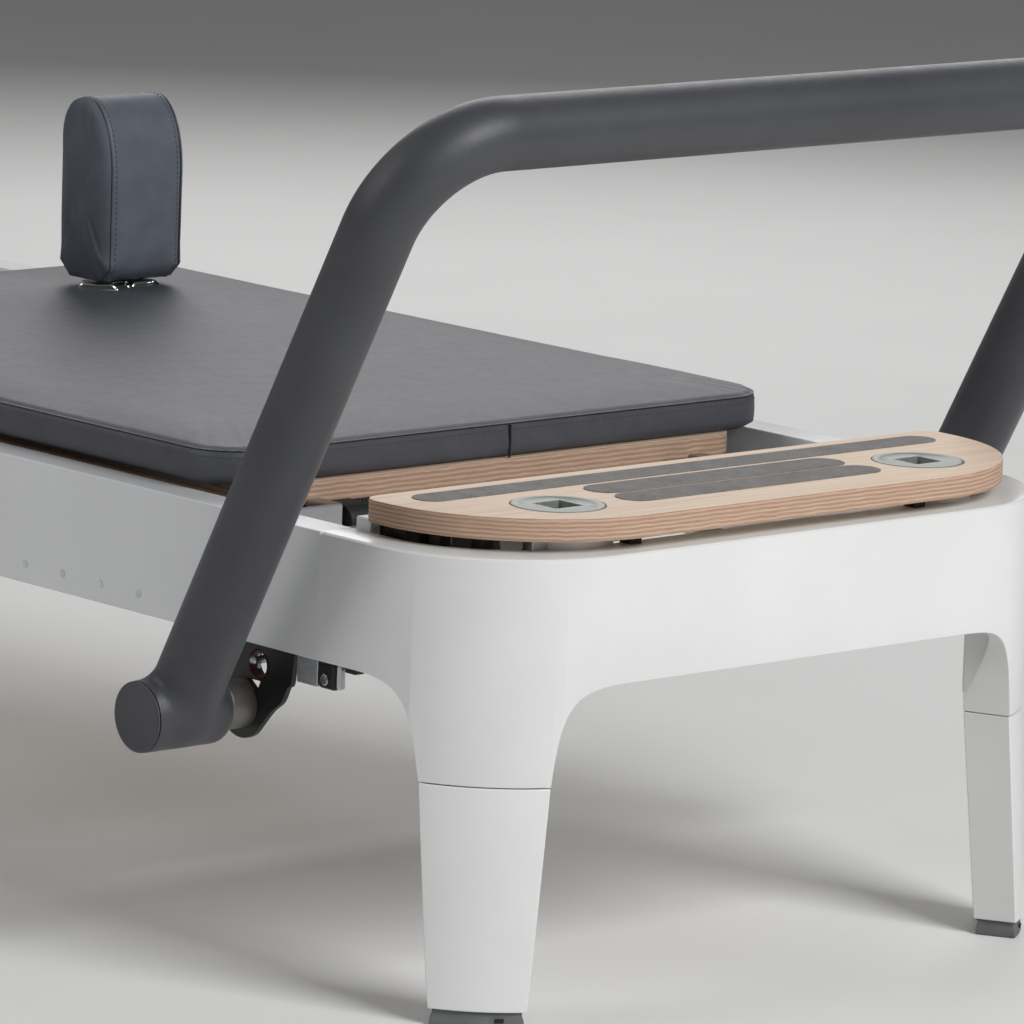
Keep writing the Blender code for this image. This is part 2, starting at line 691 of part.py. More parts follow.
def make_carriage(looks):
    axis = add_axis("carriage_axis", (from_foot(CARRIAGE_FRONT), 0, BOARD_BOTTOM))
    low_x = from_foot(CARRIAGE_BACK)
    high_x = from_foot(CARRIAGE_FRONT)
    low = (low_x, -BOARD_HALF_WIDTH)
    high = (high_x, BOARD_HALF_WIDTH)
    outline = rounded_rectangle(low, high, BOARD_RADIUS, BOARD_RADIUS, 4)
    slab = prism(outline, BOARD_BOTTOM, BOARD_TOP)
    board = add_object("carriage_board", slab, looks["ply"], axis.location, axis)
    low = (low_x, -PAD_HALF_WIDTH)
    high = (high_x, PAD_HALF_WIDTH)
    radii = (PAD_RADIUS, PAD_RADIUS)
    pad = make_pad("carriage_pad", low, high, radii, looks["vinyl"], axis.location, axis)
    bar_low = (from_foot(ANCHOR_BAR[1]), -CARRIER_Y[0] + GAP, ANCHOR_BAR_Z[0])
    bar_high = (from_foot(ANCHOR_BAR[0]), CARRIER_Y[0] - GAP, ANCHOR_BAR_Z[1])
    add_object("spring_anchor_bar", block(bar_low, bar_high), looks["rail"], axis.location, axis)
    for side, name in ((-1, "left"), (1, "right")):
        boolean(board, stem_hole(side))
        boolean(pad, stem_hole(side))
        make_carrier(side, name, looks["rail"], axis)
        make_buffer(side, name, looks["black"], axis)
    make_wheels(looks, axis)


def make_wheels(looks, parent):
    crown = WHEEL_RADIUS - WHEEL_CROWN
    inner, outer = WHEEL_Y
    profile = (
        (inner, AXLE_HOLE),
        (inner, crown),
        (inner + 0.003, WHEEL_RADIUS),
        (outer - 0.003, WHEEL_RADIUS),
        (outer, crown),
        (outer, AXLE_HOLE),
    )
    for distance, end_name in zip(WHEEL_FROM_FOOT, ("front", "back")):
        for side, side_name in ((-1, "left"), (1, "right")):
            centre = (from_foot(distance), WHEEL_Z)
            wheel = ring_solid([(side * y, r) for y, r in profile], centre, "Y", 16)
            origin = (centre[0], side * (inner + outer) / 2, WHEEL_Z)
            add_object(f"wheel_{end_name}_{side_name}", wheel, looks["black"], origin, parent)


def shoulder_outline():
    """Side view of a shoulder rest as (x, z): chamfered at the bottom, a lopsided arch at the top."""
    x = from_foot(SHOULDER_FROM_FOOT)
    half = SHOULDER_SIZE[0] / 2
    foot = half - SHOULDER_CHAMFER
    low = SHOULDER_BOTTOM + SHOULDER_CHAMFER
    front, back = SHOULDER_ARCHES
    top = []
    for a, b in arc((0, 0), 1, 0, 90, 6):
        top.append((x + half * a, SHOULDER_TOP - front * (1 - b)))
    for a, b in arc((0, 0), 1, 90, 180, 7)[1:]:
        across, up = abs(a) ** SHOULDER_SQUARING, abs(b) ** SHOULDER_SQUARING
        top.append((x - half * across, SHOULDER_TOP - back * (1 - up)))
    right = [(x - foot, SHOULDER_BOTTOM), (x + foot, SHOULDER_BOTTOM), (x + half, low)]
    return right + top + [(x - half, low)]


def make_shoulder_rests(looks):
    x = from_foot(SHOULDER_FROM_FOOT)
    plate_x, plate_y, plate_height = SHOULDER_PLATE
    stem_x, stem_y = SHOULDER_STEM
    for side, name in ((-1, "left"), (1, "right")):
        y = side * SHOULDER_Y
        origin = (x, y, PAD_TOP)
        half = SHOULDER_SIZE[1] / 2
        pad = prism(shoulder_outline(), y - half, y + half, "Y")
        add_object(f"shoulder_pad_{name}", pad, looks["dark_vinyl"], origin)
        base = PAD_TOP + 2 * GAP
        low = (x - plate_x / 2, y - plate_y / 2, base)
        high = (x + plate_x / 2, y + plate_y / 2, base + plate_height)
        post = add_object(f"shoulder_post_{name}", block(low, high), looks["steel"], origin)
        stem_low = (x - stem_x / 2, y - stem_y / 2, BOARD_BOTTOM + 0.002)
        stem_high = (x + stem_x / 2, y + stem_y / 2, base + plate_height - 0.002)
        boolean(post, block(stem_low, stem_high), "UNION")


def make_headrest(looks):
    hinge = (from_foot(HEADREST_HINGE[0]), 0, HEADREST_HINGE[1])
    axis = add_axis("headrest_axis", hinge)
    low = (from_foot(HEADREST_BACK), -HEADREST_HALF_WIDTH)
    high = (from_foot(HEADREST_FRONT), HEADREST_HALF_WIDTH)
    outline = rounded_rectangle(low, high, *HEADREST_RADII, 5)
    board = prism(outline, BOARD_TOP - HEADREST_BOARD, BOARD_TOP)
    add_object("headrest_board", board, looks["ply"], hinge, axis)
    vinyl = looks["vinyl"]
    make_pad("headrest_pad", low, high, HEADREST_RADII, vinyl, hinge, axis, HEADREST_TILT)


def make_springs(looks):
    back, front = from_foot(SPRING_BAR[1]), from_foot(SPRING_BAR[0])
    low, high = SPRING_BAR_Z
    whole = block((back, -SPRING_BAR_HALF, low), (front, SPRING_BAR_HALF, high))
    bar = add_object("spring_bar", whole, looks["rail"])
    for side in (-1, 1):
        near, far = sorted((side * SPRING_BAR_EAR[0], side * SPRING_BAR_HALF))
        boolean(bar, block((back, near, high - 0.004), (front, far, SPRING_BAR_EAR[1])), "UNION")
    start = from_foot(SPRING_BAR[1] + GAP)
    end = from_foot(ANCHOR_BAR[0] - GAP)
    profile = (
        (end, SPRING_NECK),
        (end + SPRING_TAPER, SPRING_RADIUS),
        (start - SPRING_TAPER, SPRING_RADIUS),
        (start, SPRING_NECK),
    )
    for number, y in enumerate(SPRING_Y, 1):
        spring = lathe(profile, (y, SPRING_Z), "X", 10)
        add_object(f"spring_{number}", spring, looks["spring"], (start, y, SPRING_Z))


def make_risers(looks):
    x = from_foot(RISER_FROM_FOOT)
    bore = RISER_RADIUS + RISER_CLEARANCE
    outer = RISER_SLEEVE_RADIUS
    bottom, top = RISER_SLEEVE_Z
    arm_low, arm_high = RISER_ARM_Z
    wall_x = -(LENGTH / 2 - WALL - GAP)
    for side, name in ((-1, "left"), (1, "right")):
        y = side * RISER_Y
        profile = ((bottom, bore), (bottom, outer), (top, outer), (top, bore))
        tube = ring_solid(profile, (x, y), "Z", 16)
        sleeve = add_object(f"riser_sleeve_{name}", tube, looks["black"])
        low = (wall_x, y - RISER_ARM_HALF, arm_low)
        high = (x - RISER_RADIUS - 0.004, y + RISER_ARM_HALF, arm_high)
        boolean(sleeve, block(low, high), "UNION")
        make_riser_post(x, y, name, looks)
        make_pulley(x, y, name, looks)


def make_riser_post(x, y, name, looks):
    """Telescoping post with a fork at its top, and the pulley's axle across the fork."""
    low, high = RISER_POST_Z
    tube = prism(circle((x, y), RISER_RADIUS, 16), low, high)
    post = add_object(f"riser_post_{name}", tube, looks["steel"], (x, y, high))
    inner = PULLEY_HALF + PULLEY_CLEARANCE
    outer = inner + CHEEK
    for side in (-1, 1):
        near, far = sorted((y + side * inner, y + side * outer))
        cheek_low = (x - CHEEK_HALF, near, high - 0.006)
        cheek_high = (x + CHEEK_HALF, far, PULLEY_Z + CHEEK_HALF)
        boolean(post, block(cheek_low, cheek_high), "UNION")
    end = circle((x, PULLEY_Z), AXLE_RADIUS, 12)
    boolean(post, prism(end, y - outer + 0.001, y + outer - 0.001, "Y"), "UNION")


def make_pulley(x, y, name, looks):
    half = PULLEY_HALF
    profile = (
        (y - half, AXLE_HOLE),
        (y - half, PULLEY_RADIUS),
        (y - half + PULLEY_RIM, PULLEY_RADIUS),
        (y, PULLEY_GROOVE),
        (y + half - PULLEY_RIM, PULLEY_RADIUS),
        (y + half, PULLEY_RADIUS),
        (y + half, AXLE_HOLE),
    )
    pulley = ring_solid(profile, (x, PULLEY_Z), "Y", 20)
    add_object(f"pulley_{name}", pulley, looks["black"], (x, y, PULLEY_Z))


def main():
    clear_scene()
    looks = make_looks()
    make_end_frame("foot_end_frame", 1, looks["white"])
    make_end_frame("head_end_frame", -1, looks["white"])
    make_legs(looks)
    make_side_rails(looks)
    make_platform(looks)
    make_grips(looks)
    make_footbar(looks)
    make_brackets(looks)
    make_carriage(looks)
    make_shoulder_rests(looks)
    make_headrest(looks)
    make_springs(looks)
    make_risers(looks)


main()
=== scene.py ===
"""Looks of the pilates reformer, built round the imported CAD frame.

Metres, +X to the foot end, +Z up. "Left" is the -Y side and "right" the +Y side. Places are read from
the frame's boxes; the constants below are the shapes' own measures.
"""

import json
import math

import bmesh
import bpy
import numpy as np
from mathutils import Matrix, Vector


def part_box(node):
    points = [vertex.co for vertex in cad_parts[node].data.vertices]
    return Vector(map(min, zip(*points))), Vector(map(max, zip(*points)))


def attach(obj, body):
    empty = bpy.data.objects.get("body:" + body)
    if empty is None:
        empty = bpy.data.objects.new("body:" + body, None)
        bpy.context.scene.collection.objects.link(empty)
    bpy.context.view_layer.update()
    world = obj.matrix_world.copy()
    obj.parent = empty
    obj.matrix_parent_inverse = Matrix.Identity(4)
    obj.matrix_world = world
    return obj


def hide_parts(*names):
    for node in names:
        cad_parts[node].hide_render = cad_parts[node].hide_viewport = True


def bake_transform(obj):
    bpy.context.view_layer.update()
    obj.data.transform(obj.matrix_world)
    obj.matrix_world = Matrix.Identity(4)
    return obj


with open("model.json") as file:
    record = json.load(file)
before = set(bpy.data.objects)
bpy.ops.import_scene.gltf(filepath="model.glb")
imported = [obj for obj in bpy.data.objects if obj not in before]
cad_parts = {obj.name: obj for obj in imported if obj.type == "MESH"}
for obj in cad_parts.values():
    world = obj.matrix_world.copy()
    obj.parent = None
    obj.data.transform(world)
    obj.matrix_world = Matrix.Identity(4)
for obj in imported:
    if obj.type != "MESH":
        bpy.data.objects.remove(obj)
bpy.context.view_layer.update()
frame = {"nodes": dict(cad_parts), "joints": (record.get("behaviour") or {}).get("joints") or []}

SIDES = ((-1, "left"), (1, "right"))

# Frame outline.
FOOT_LOW, FOOT_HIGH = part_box("foot_end_frame")
RAIL_LOW, RAIL_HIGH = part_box("side_rail_right")
HALF_LENGTH = FOOT_HIGH.x
HALF_WIDTH = FOOT_HIGH.y
RAIL_TOP = RAIL_HIGH.z
RAIL_BOTTOM = RAIL_LOW.z
LEG_SEAM = FOOT_LOW.z
CORNER_RADIUS = 0.138
WALL = 0.010
SIDE_LIP = 0.033
END_LIP = 0.043
LIP_THICKNESS = 0.012
HALF_ARC = CORNER_RADIUS * math.pi / 4
SEAM_GAP = 0.0005
CROSS_WALL = (0.2025, 0.182)
CROSS_WALL_Z = (0.345, 0.360)

# Legs: lengths are measured along the rounded corner from its middle, on the side face and on
# the end face. Each fillet is a Bezier curve of (length, height) from the leg up to the casting.
LEG_TOP_HALVES = (0.0558, 0.0526)
LEG_FOOT_HALVES = (0.0412, 0.0395)
LEG_TOP_DEPTH = 0.042
LEG_FOOT_DEPTH = 0.0375
LEG_SPLAY = 0.007
SIDE_FILLET = ((0.0575, 0.203), (0.0655, 0.260), (0.078, RAIL_BOTTOM), (0.125, RAIL_BOTTOM))
END_FILLET = ((0.0536, 0.203), (0.0605, 0.260), (0.0715, RAIL_BOTTOM), (0.118, RAIL_BOTTOM))
FILLET_THICKENING = 0.8

# Rail section.
RAIL_SHEET = 0.004
TRACK_TOP = 0.306
RAIL_FLANGE = 0.040
PLUG_FIRST = 0.434
PLUG_PITCH = 0.051
PLUG_COUNT = 4
PLUG_HEIGHT = 0.289
PLUG_RADIUS = 0.0034

# Small hardware.
WASHER_THICKNESS = 0.0012
FIT_GAP = 0.0003

# Camera: its place, where it looks (azimuth from the -Y axis, elevation) and its roll.
CAMERA_PLACE = (5.3132, -3.9727, 1.4156)
CAMERA_AZIMUTH = math.radians(48.4404)
CAMERA_ELEVATION = math.radians(10.2073)
CAMERA_ROLL = math.radians(1.926)
CAMERA_LENS = 253.14
SENSOR_WIDTH = 36.0

# Lights.
LIGHT_TARGET = (0.8, 0.0, 0.3)
LIGHT_DISTANCE = 5.0


# ---------------------------------------------------------------- shapes


def from_foot(distance):
    """X of a place this far back from the foot end's outer face."""
    return HALF_LENGTH - distance


def middle(node):
    low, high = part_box(node)
    return (low + high) / 2


def y_ends(node, side):
    """The node's Y on the machine's inside and on its outside."""
    low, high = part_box(node)
    return (low.y, high.y) if side > 0 else (high.y, low.y)


def joint_place(name):
    return Vector(next(joint["pos_m"] for joint in frame["joints"] if joint["name"] == name))


def arc(centre, radius, start, end, steps):
    """Points of an arc between two angles in degrees."""
    angles = [math.radians(start + (end - start) * i / steps) for i in range(steps + 1)]
    return [(centre[0] + radius * math.cos(t), centre[1] + radius * math.sin(t)) for t in angles]


def circle(centre, radius, sides=48):
    return arc(centre, radius, 0, 360, sides)[:-1]


def rounded_rectangle(low, high, low_radius, high_radius, steps=10):
    """A rectangle with one corner radius at its low-x end and another at its high-x end."""
    corners = (
        ((high[0] - high_radius, low[1] + high_radius), high_radius, 270),
        ((high[0] - high_radius, high[1] - high_radius), high_radius, 0),
        ((low[0] + low_radius, high[1] - low_radius), low_radius, 90),
        ((low[0] + low_radius, low[1] + low_radius), low_radius, 180),
    )
    return [p for centre, r, a in corners for p in arc(centre, r, a, a + 90, steps)]


def place(axis, a, b, height):
    """A point of an outline (a, b) at a height along the given axis."""
    return {"X": (height, a, b), "Y": (a, height, b), "Z": (a, b, height)}[axis]


def loft(rings, bm=None, closed=False):
    """Skins rings of points that match one to one; it caps both ends, or joins the last to the first."""
    bm = bm or bmesh.new()
    loops = [[bm.verts.new(point) for point in ring] for ring in rings]
    count = len(loops[0])
    pairs = list(zip(loops, loops[1:]))
    if closed:
        pairs.append((loops[-1], loops[0]))
    for first, second in pairs:
        for i in range(count):
            j = (i + 1) % count
            bm.faces.new((first[i], first[j], second[j], second[i]))
    if not closed:
        bm.faces.new(loops[0])
        bm.faces.new(loops[-1])
    return bm


def prism(outline, low, high, axis="Z", bm=None):
    return loft([[place(axis, a, b, h) for a, b in outline] for h in (low, high)], bm)


def block(low, high, bm=None):
    outline = [(low[0], low[1]), (high[0], low[1]), (high[0], high[1]), (low[0], high[1])]
    return prism(outline, low[2], high[2], bm=bm)


def lathe(profile, centre, axis, sides=48, bm=None):
    """A solid turned from (height, radius) pairs along an axis through a point."""
    rings = [[place(axis, a, b, h) for a, b in circle(centre, r, sides)] for h, r in profile]
    return loft(rings, bm)


def ring_solid(profile, centre, axis, sides=48, bm=None):
    """A turned solid with a bore, from a closed profile of (height, radius) pairs."""
    rings = [[place(axis, a, b, h) for a, b in circle(centre, r, sides)] for h, r in profile]
    return loft(rings, bm, closed=True)


def tube(path, radius, sides=12, bm=None, closed=False):
    """A round bar along a path of points, with its rings turned as little as possible."""
    points = [Vector(p) for p in path]
    count = len(points)
    rings = []
    normal = None
    for i, point in enumerate(points):
        before = points[i - 1] if i or closed else point
        after = points[(i + 1) % count] if i < count - 1 or closed else point
        tangent = (after - before).normalized()
        if normal is None:
            normal = tangent.orthogonal().normalized()
        normal = (normal - tangent * normal.dot(tangent)).normalized()
        across = tangent.cross(normal)
        ring = [point + normal * a + across * b for a, b in circle((0, 0), radius, sides)]
        rings.append(ring)
    return loft(rings, bm, closed)


def bolt(centre, axis, direction, radius, height, bm, washer=True):
    """A hexagon bolt head on a washer; direction is 1 or -1 along the axis."""
    x, y, z = centre
    a, b, base = {"X": (y, z, x), "Y": (x, z, y), "Z": (x, y, z)}[axis]
    if washer:
        face = base
        base = face + direction * WASHER_THICKNESS
        lathe(((face, radius * 1.6), (base, radius * 1.6)), (a, b), axis, 32, bm)
    top = base + direction * height
    rim = top - direction * height * 0.15
    lathe(((base, radius), (rim, radius), (top, radius * 0.86)), (a, b), axis, 6, bm)


# ---------------------------------------------------------------- pieces


def add_object(name, data):
    """A new object in the scene."""
    obj = bpy.data.objects.new(name, data)
    bpy.context.scene.collection.objects.link(obj)
    return obj


def solid_object(name, bm):
    """A new object with the shape, its faces turned outward."""
    bmesh.ops.recalc_face_normals(bm, faces=bm.faces)
    mesh = bpy.data.meshes.new(name)
    bm.to_mesh(mesh)
    bm.free()
    return add_object(name, mesh)


def piece(name, bm, body, look, replaces=(), bevel=0.0, angle=35, segments=3):
    """Makes a mesh piece that rides on a body, with rounded edges where bevel is given."""
    obj = solid_object(name, bm)
    obj.data.materials.append(look)
    obj.data.shade_smooth()
    obj.data.set_sharp_from_angle(angle=math.radians(angle))
    if bevel:
        round_edges(obj, bevel, angle, segments)
    if body:
        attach(obj, body)
    if replaces:
        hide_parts(*replaces)
    return obj


def round_edges(obj, width, angle=35, segments=3):
    modifier = obj.modifiers.new("Round", "BEVEL")
    modifier.width = width
    modifier.segments = segments
    modifier.limit_method = "ANGLE"
    modifier.angle_limit = math.radians(angle)
    modifier.harden_normals = True
    modifier.use_clamp_overlap = True


def apply_modifiers(obj):
    """Puts what the modifiers make into the object's own mesh."""
    graph = bpy.context.evaluated_depsgraph_get()
    mesh = bpy.data.meshes.new_from_object(obj.evaluated_get(graph))
    obj.modifiers.clear()
    obj.data = mesh


def cut(bm, cutters):
    """The shape with the cutter shapes taken out of it."""
    body = solid_object("base", bm)
    helpers = []
    for cutter in cutters:
        helpers.append(solid_object("cutter", cutter))
        modifier = body.modifiers.new("Cut", "BOOLEAN")
        modifier.object = helpers[-1]
        modifier.solver = "EXACT"
    apply_modifiers(body)
    result = bmesh.new()
    result.from_mesh(body.data)
    for obj in [body] + helpers:
        bpy.data.objects.remove(obj)
    return result


# ---------------------------------------------------------------- materials


def linear(channel):
    value = channel / 255
    return value / 12.92 if value <= 0.04045 else ((value + 0.055) / 1.055) ** 2.4


def tint(rgb):
    return [linear(c) for c in rgb] + [1.0]


class Look:
    """A Principled material with short calls for the nodes that shape its colour, gloss and bump."""

    def __init__(self, name, rgb, roughness, metallic=0.0, **sockets):
        self.material = bpy.data.materials.new(name)
        self.material.use_nodes = True
        self.tree = self.material.node_tree
        self.shader = self.tree.nodes["Principled BSDF"]
        self.set(self.shader, "Base Color", tint(rgb))
        self.set(self.shader, "Roughness", roughness)
        self.set(self.shader, "Metallic", metallic)
        for socket, value in sockets.items():
            self.set(self.shader, socket.replace("_", " "), value)
        self.place = self.tree.nodes.new("ShaderNodeTexCoord").outputs["Object"]
        self.height = None

    @staticmethod
    def set(node, socket, value):
        node.inputs[socket].default_value = value

    def join(self, output, node, socket):
        self.tree.links.new(output, node.inputs[socket])

    def stretched(self, scale, turn=(0, 0, 0)):
        """Coordinates scaled by (x, y, z), so that a texture is drawn out along an axis."""
        node = self.tree.nodes.new("ShaderNodeMapping")
        self.set(node, "Scale", scale)
        self.set(node, "Rotation", turn)
        self.join(self.place, node, "Vector")
        return node.outputs["Vector"]

    def noise(self, scale, detail=4.0, where=None, roughness=0.55):
        node = self.tree.nodes.new("ShaderNodeTexNoise")
        self.set(node, "Scale", scale)
        self.set(node, "Detail", detail)
        self.set(node, "Roughness", roughness)
        self.join(where or self.place, node, "Vector")
        return node.outputs["Fac"]

    def cells(self, scale, where=None, feature="F1"):
        node = self.tree.nodes.new("ShaderNodeTexVoronoi")
        node.feature = feature
        self.set(node, "Scale", scale)
        self.join(where or self.place, node, "Vector")
        return node.outputs["Distance"]

    def ramp(self, value, stops):
        """Maps a value to grey or colour through (position, colour) stops."""
        node = self.tree.nodes.new("ShaderNodeValToRGB")
        elements = node.color_ramp.elements
        while len(elements) < len(stops):
            elements.new(0.5)
        for element, (position, colour) in zip(elements, stops):
            element.position = position
            element.color = colour if len(colour) == 4 else tint(colour)
        self.join(value, node, "Fac")
        return node.outputs["Color"]

    def mix(self, factor, first, second, mode="MIX"):
        node = self.tree.nodes.new("ShaderNodeMix")
        node.data_type = "RGBA"
        node.blend_type = mode
        for socket, value in ((0, factor), (6, first), (7, second)):
            if isinstance(value, (int, float, list, tuple)):
                node.inputs[socket].default_value = value
            else:
                self.tree.links.new(value, node.inputs[socket])
        return node.outputs[2]

    def math(self, operation, first, second=0.5):
        node = self.tree.nodes.new("ShaderNodeMath")
        node.operation = operation
        for socket, value in ((0, first), (1, second)):
            if isinstance(value, (int, float)):
                node.inputs[socket].default_value = value
            else:
                self.tree.links.new(value, node.inputs[socket])
        return node.outputs[0]

    def span(self, value, low, high):
        """A 0 to 1 value spread over low to high."""
        node = self.tree.nodes.new("ShaderNodeMapRange")
        self.set(node, "To Min", low)
        self.set(node, "To Max", high)
        self.join(value, node, "Value")
        return node.outputs["Result"]

    def facing_up(self):
        """1 where the surface faces up or down, 0 on its edges."""
        geometry = self.tree.nodes.new("ShaderNodeNewGeometry")
        split = self.tree.nodes.new("ShaderNodeSeparateXYZ")
        self.join(geometry.outputs["Normal"], split, "Vector")
        upward = self.math("ABSOLUTE", split.outputs["Z"])
        return self.math("GREATER_THAN", upward, 0.7)

    def height_z(self):
        split = self.tree.nodes.new("ShaderNodeSeparateXYZ")
        self.join(self.place, split, "Vector")
        return split.outputs["Z"]

    def colour(self, output):
        self.join(output, self.shader, "Base Color")
        return self

    def rough(self, output):
        self.join(output, self.shader, "Roughness")
        return self

    def bump(self, output, distance, strength=1.0):
        """Adds a bump of this height in metres over any bump already there."""
        node = self.tree.nodes.new("ShaderNodeBump")
        self.set(node, "Strength", strength)
        self.set(node, "Distance", distance)
        self.join(output, node, "Height")
        if self.height:
            self.join(self.height, node, "Normal")
        self.height = node.outputs["Normal"]
        self.join(self.height, self.shader, "Normal")
        return self


def powder_coat(name, rgb, roughness):
    """Satin powder coat: an orange-peel ripple, faint cloudiness and uneven gloss."""
    look = Look(name, rgb, roughness, Coat_Weight=0.25, Coat_Roughness=0.12)
    darker = [c * 0.965 for c in rgb]
    look.colour(look.ramp(look.noise(6.0, 3), ((0.3, darker), (0.7, rgb))))
    look.rough(look.span(look.noise(18.0, 4), roughness - 0.05, roughness + 0.06))
    look.bump(look.noise(1400.0, 2), 0.00006)
    return look.material


def anodised(name, rgb):
    """Satin anodised extrusion: fine draw lines along X."""
    look = Look(name, rgb, 0.34, 0.55, Coat_Weight=0.15, Coat_Roughness=0.15)
    lines = look.noise(1.0, 3, look.stretched((4, 900, 900)))
    look.colour(look.ramp(lines, ((0.3, [c * 0.96 for c in rgb]), (0.7, rgb))))
    look.rough(look.span(lines, 0.28, 0.40))
    look.bump(lines, 0.00003)
    return look.material


def moulded(name, rgb, roughness, grain=2200.0, depth=0.00005, **sockets):
    """Moulded plastic or rubber with a fine spark-eroded texture and scuffs."""
    look = Look(name, rgb, roughness, **sockets)
    scuffs = look.noise(35.0, 6, roughness=0.7)
    lighter = [min(255, c * 1.18 + 4) for c in rgb]
    look.colour(look.ramp(scuffs, ((0.35, rgb), (0.8, lighter))))
    look.rough(look.span(scuffs, roughness - 0.06, roughness + 0.10))
    look.bump(look.noise(grain, 2), depth)
    return look.material


def foam_skin(name, rgb):
    """Dense foam with a soft skin: fine closed cells and slow undulation."""
    look = Look(name, rgb, 0.42, Sheen_Weight=0.1, Sheen_Roughness=0.4, Specular_IOR_Level=0.4)
    clouds = look.noise(9.0, 4)
    look.colour(look.ramp(clouds, ((0.3, [c * 0.92 for c in rgb]), (0.75, [c * 1.06 for c in rgb]))))
    look.rough(look.span(look.noise(60.0, 3), 0.38, 0.52))
    look.bump(look.noise(22.0, 2), 0.0004, 0.5)
    look.bump(look.cells(900.0), 0.00012)
    return look.material


def leather_like(name, rgb, roughness):
    """Upholstery vinyl: a pebbled grain of small cells with finer creases between them."""
    look = Look(name, rgb, roughness, Specular_IOR_Level=0.35)
    warp = look.noise(40.0, 3)
    look.colour(look.ramp(warp, ((0.3, [c * 0.94 for c in rgb]), (0.75, [c * 1.05 for c in rgb]))))
    look.rough(look.span(look.noise(120.0, 4), roughness - 0.05, roughness + 0.07))
    look.bump(look.noise(14.0, 2), 0.0005, 0.4)
    look.bump(look.cells(650.0, feature="SMOOTH_F1"), 0.00012)
    look.bump(look.noise(2600.0, 2), 0.00003)
    return look.material


def plywood(name, low, high, plies):
    """Clear-lacquered plywood: long grain on its faces, thin glued plies on its edges."""
    look = Look(name, (222, 203, 186), 0.55, Specular_IOR_Level=0.3)
    grain = look.noise(1.0, 6, look.stretched((130, 5, 130)), 0.65)
    fibre = look.noise(1.0, 3, look.stretched((900, 18, 900)))
    face = look.ramp(grain, ((0.30, (206, 180, 156)), (0.52, (222, 198, 176)), (0.78, (231, 211, 191))))
    face = look.mix(0.12, face, look.ramp(fibre, ((0.4, (190, 160, 134)), (0.6, (236, 217, 198)))))
    thickness = (high - low) / plies
    wander = look.math("MULTIPLY", look.noise(60.0, 4), thickness * 1.3)
    level = look.math("ADD", look.math("SUBTRACT", look.height_z(), low), wander)
    phase = look.math("FRACT", look.math("DIVIDE", level, 2 * thickness), 0)
    fine = look.noise(1.0, 5, look.stretched((40, 40, 2600)), 0.7)
    light_ply = look.ramp(fine, ((0.25, (170, 138, 116)), (0.55, (196, 166, 144)), (0.8, (216, 190, 168))))
    dark_ply = look.ramp(fine, ((0.25, (138, 108, 90)), (0.55, (170, 140, 119)), (0.8, (198, 168, 146))))
    black, white = (0, 0, 0, 1), (1, 1, 1, 1)
    band = look.ramp(phase, ((0.0, black), (0.46, black), (0.54, white), (1.0, white)))
    edge = look.mix(band, light_ply, dark_ply)
    look.colour(look.mix(look.facing_up(), edge, face))
    look.rough(look.span(grain, 0.50, 0.66))
    look.bump(grain, 0.00008, 0.6)
    look.bump(fine, 0.00010, 0.5)
    return look.material


def worked_metal(name, rgb, roughness, stretch=(60, 60, 60), metallic=1.0):
    """Turned, brushed or plated metal, with its tool marks drawn along the small scales."""
    look = Look(name, rgb, roughness, metallic)
    marks = look.noise(1.0, 4, look.stretched(stretch))
    look.colour(look.ramp(marks, ((0.3, [c * 0.9 for c in rgb]), (0.7, rgb))))
    look.rough(look.span(marks, max(0.04, roughness - 0.06), roughness + 0.08))
    look.bump(marks, 0.00002)
    return look.material


def grit(name, rgb):
    """Anti-slip strip: mineral grit in a dark binder."""
    look = Look(name, rgb, 0.85)
    grains = look.cells(1100.0)
    speck = look.ramp(grains, ((0.0, [c * 1.22 for c in rgb]), (0.35, rgb), (0.8, [c * 0.68 for c in rgb])))
    patches = look.ramp(look.noise(50.0, 4), ((0.3, (225, 225, 225)), (0.7, (255, 255, 255))))
    look.colour(look.mix(1.0, speck, patches, "MULTIPLY"))
    look.bump(grains, -0.0003)
    return look.material


def thread(name, rgb):
    """Twisted polyester thread."""
    look = Look(name, rgb, 0.6, Sheen_Weight=0.3)
    twist = look.noise(1.0, 2, look.stretched((1800, 1800, 1800)))
    look.colour(look.ramp(twist, ((0.35, [c * 0.75 for c in rgb]), (0.65, rgb))))
    look.bump(twist, 0.0001)
    return look.material


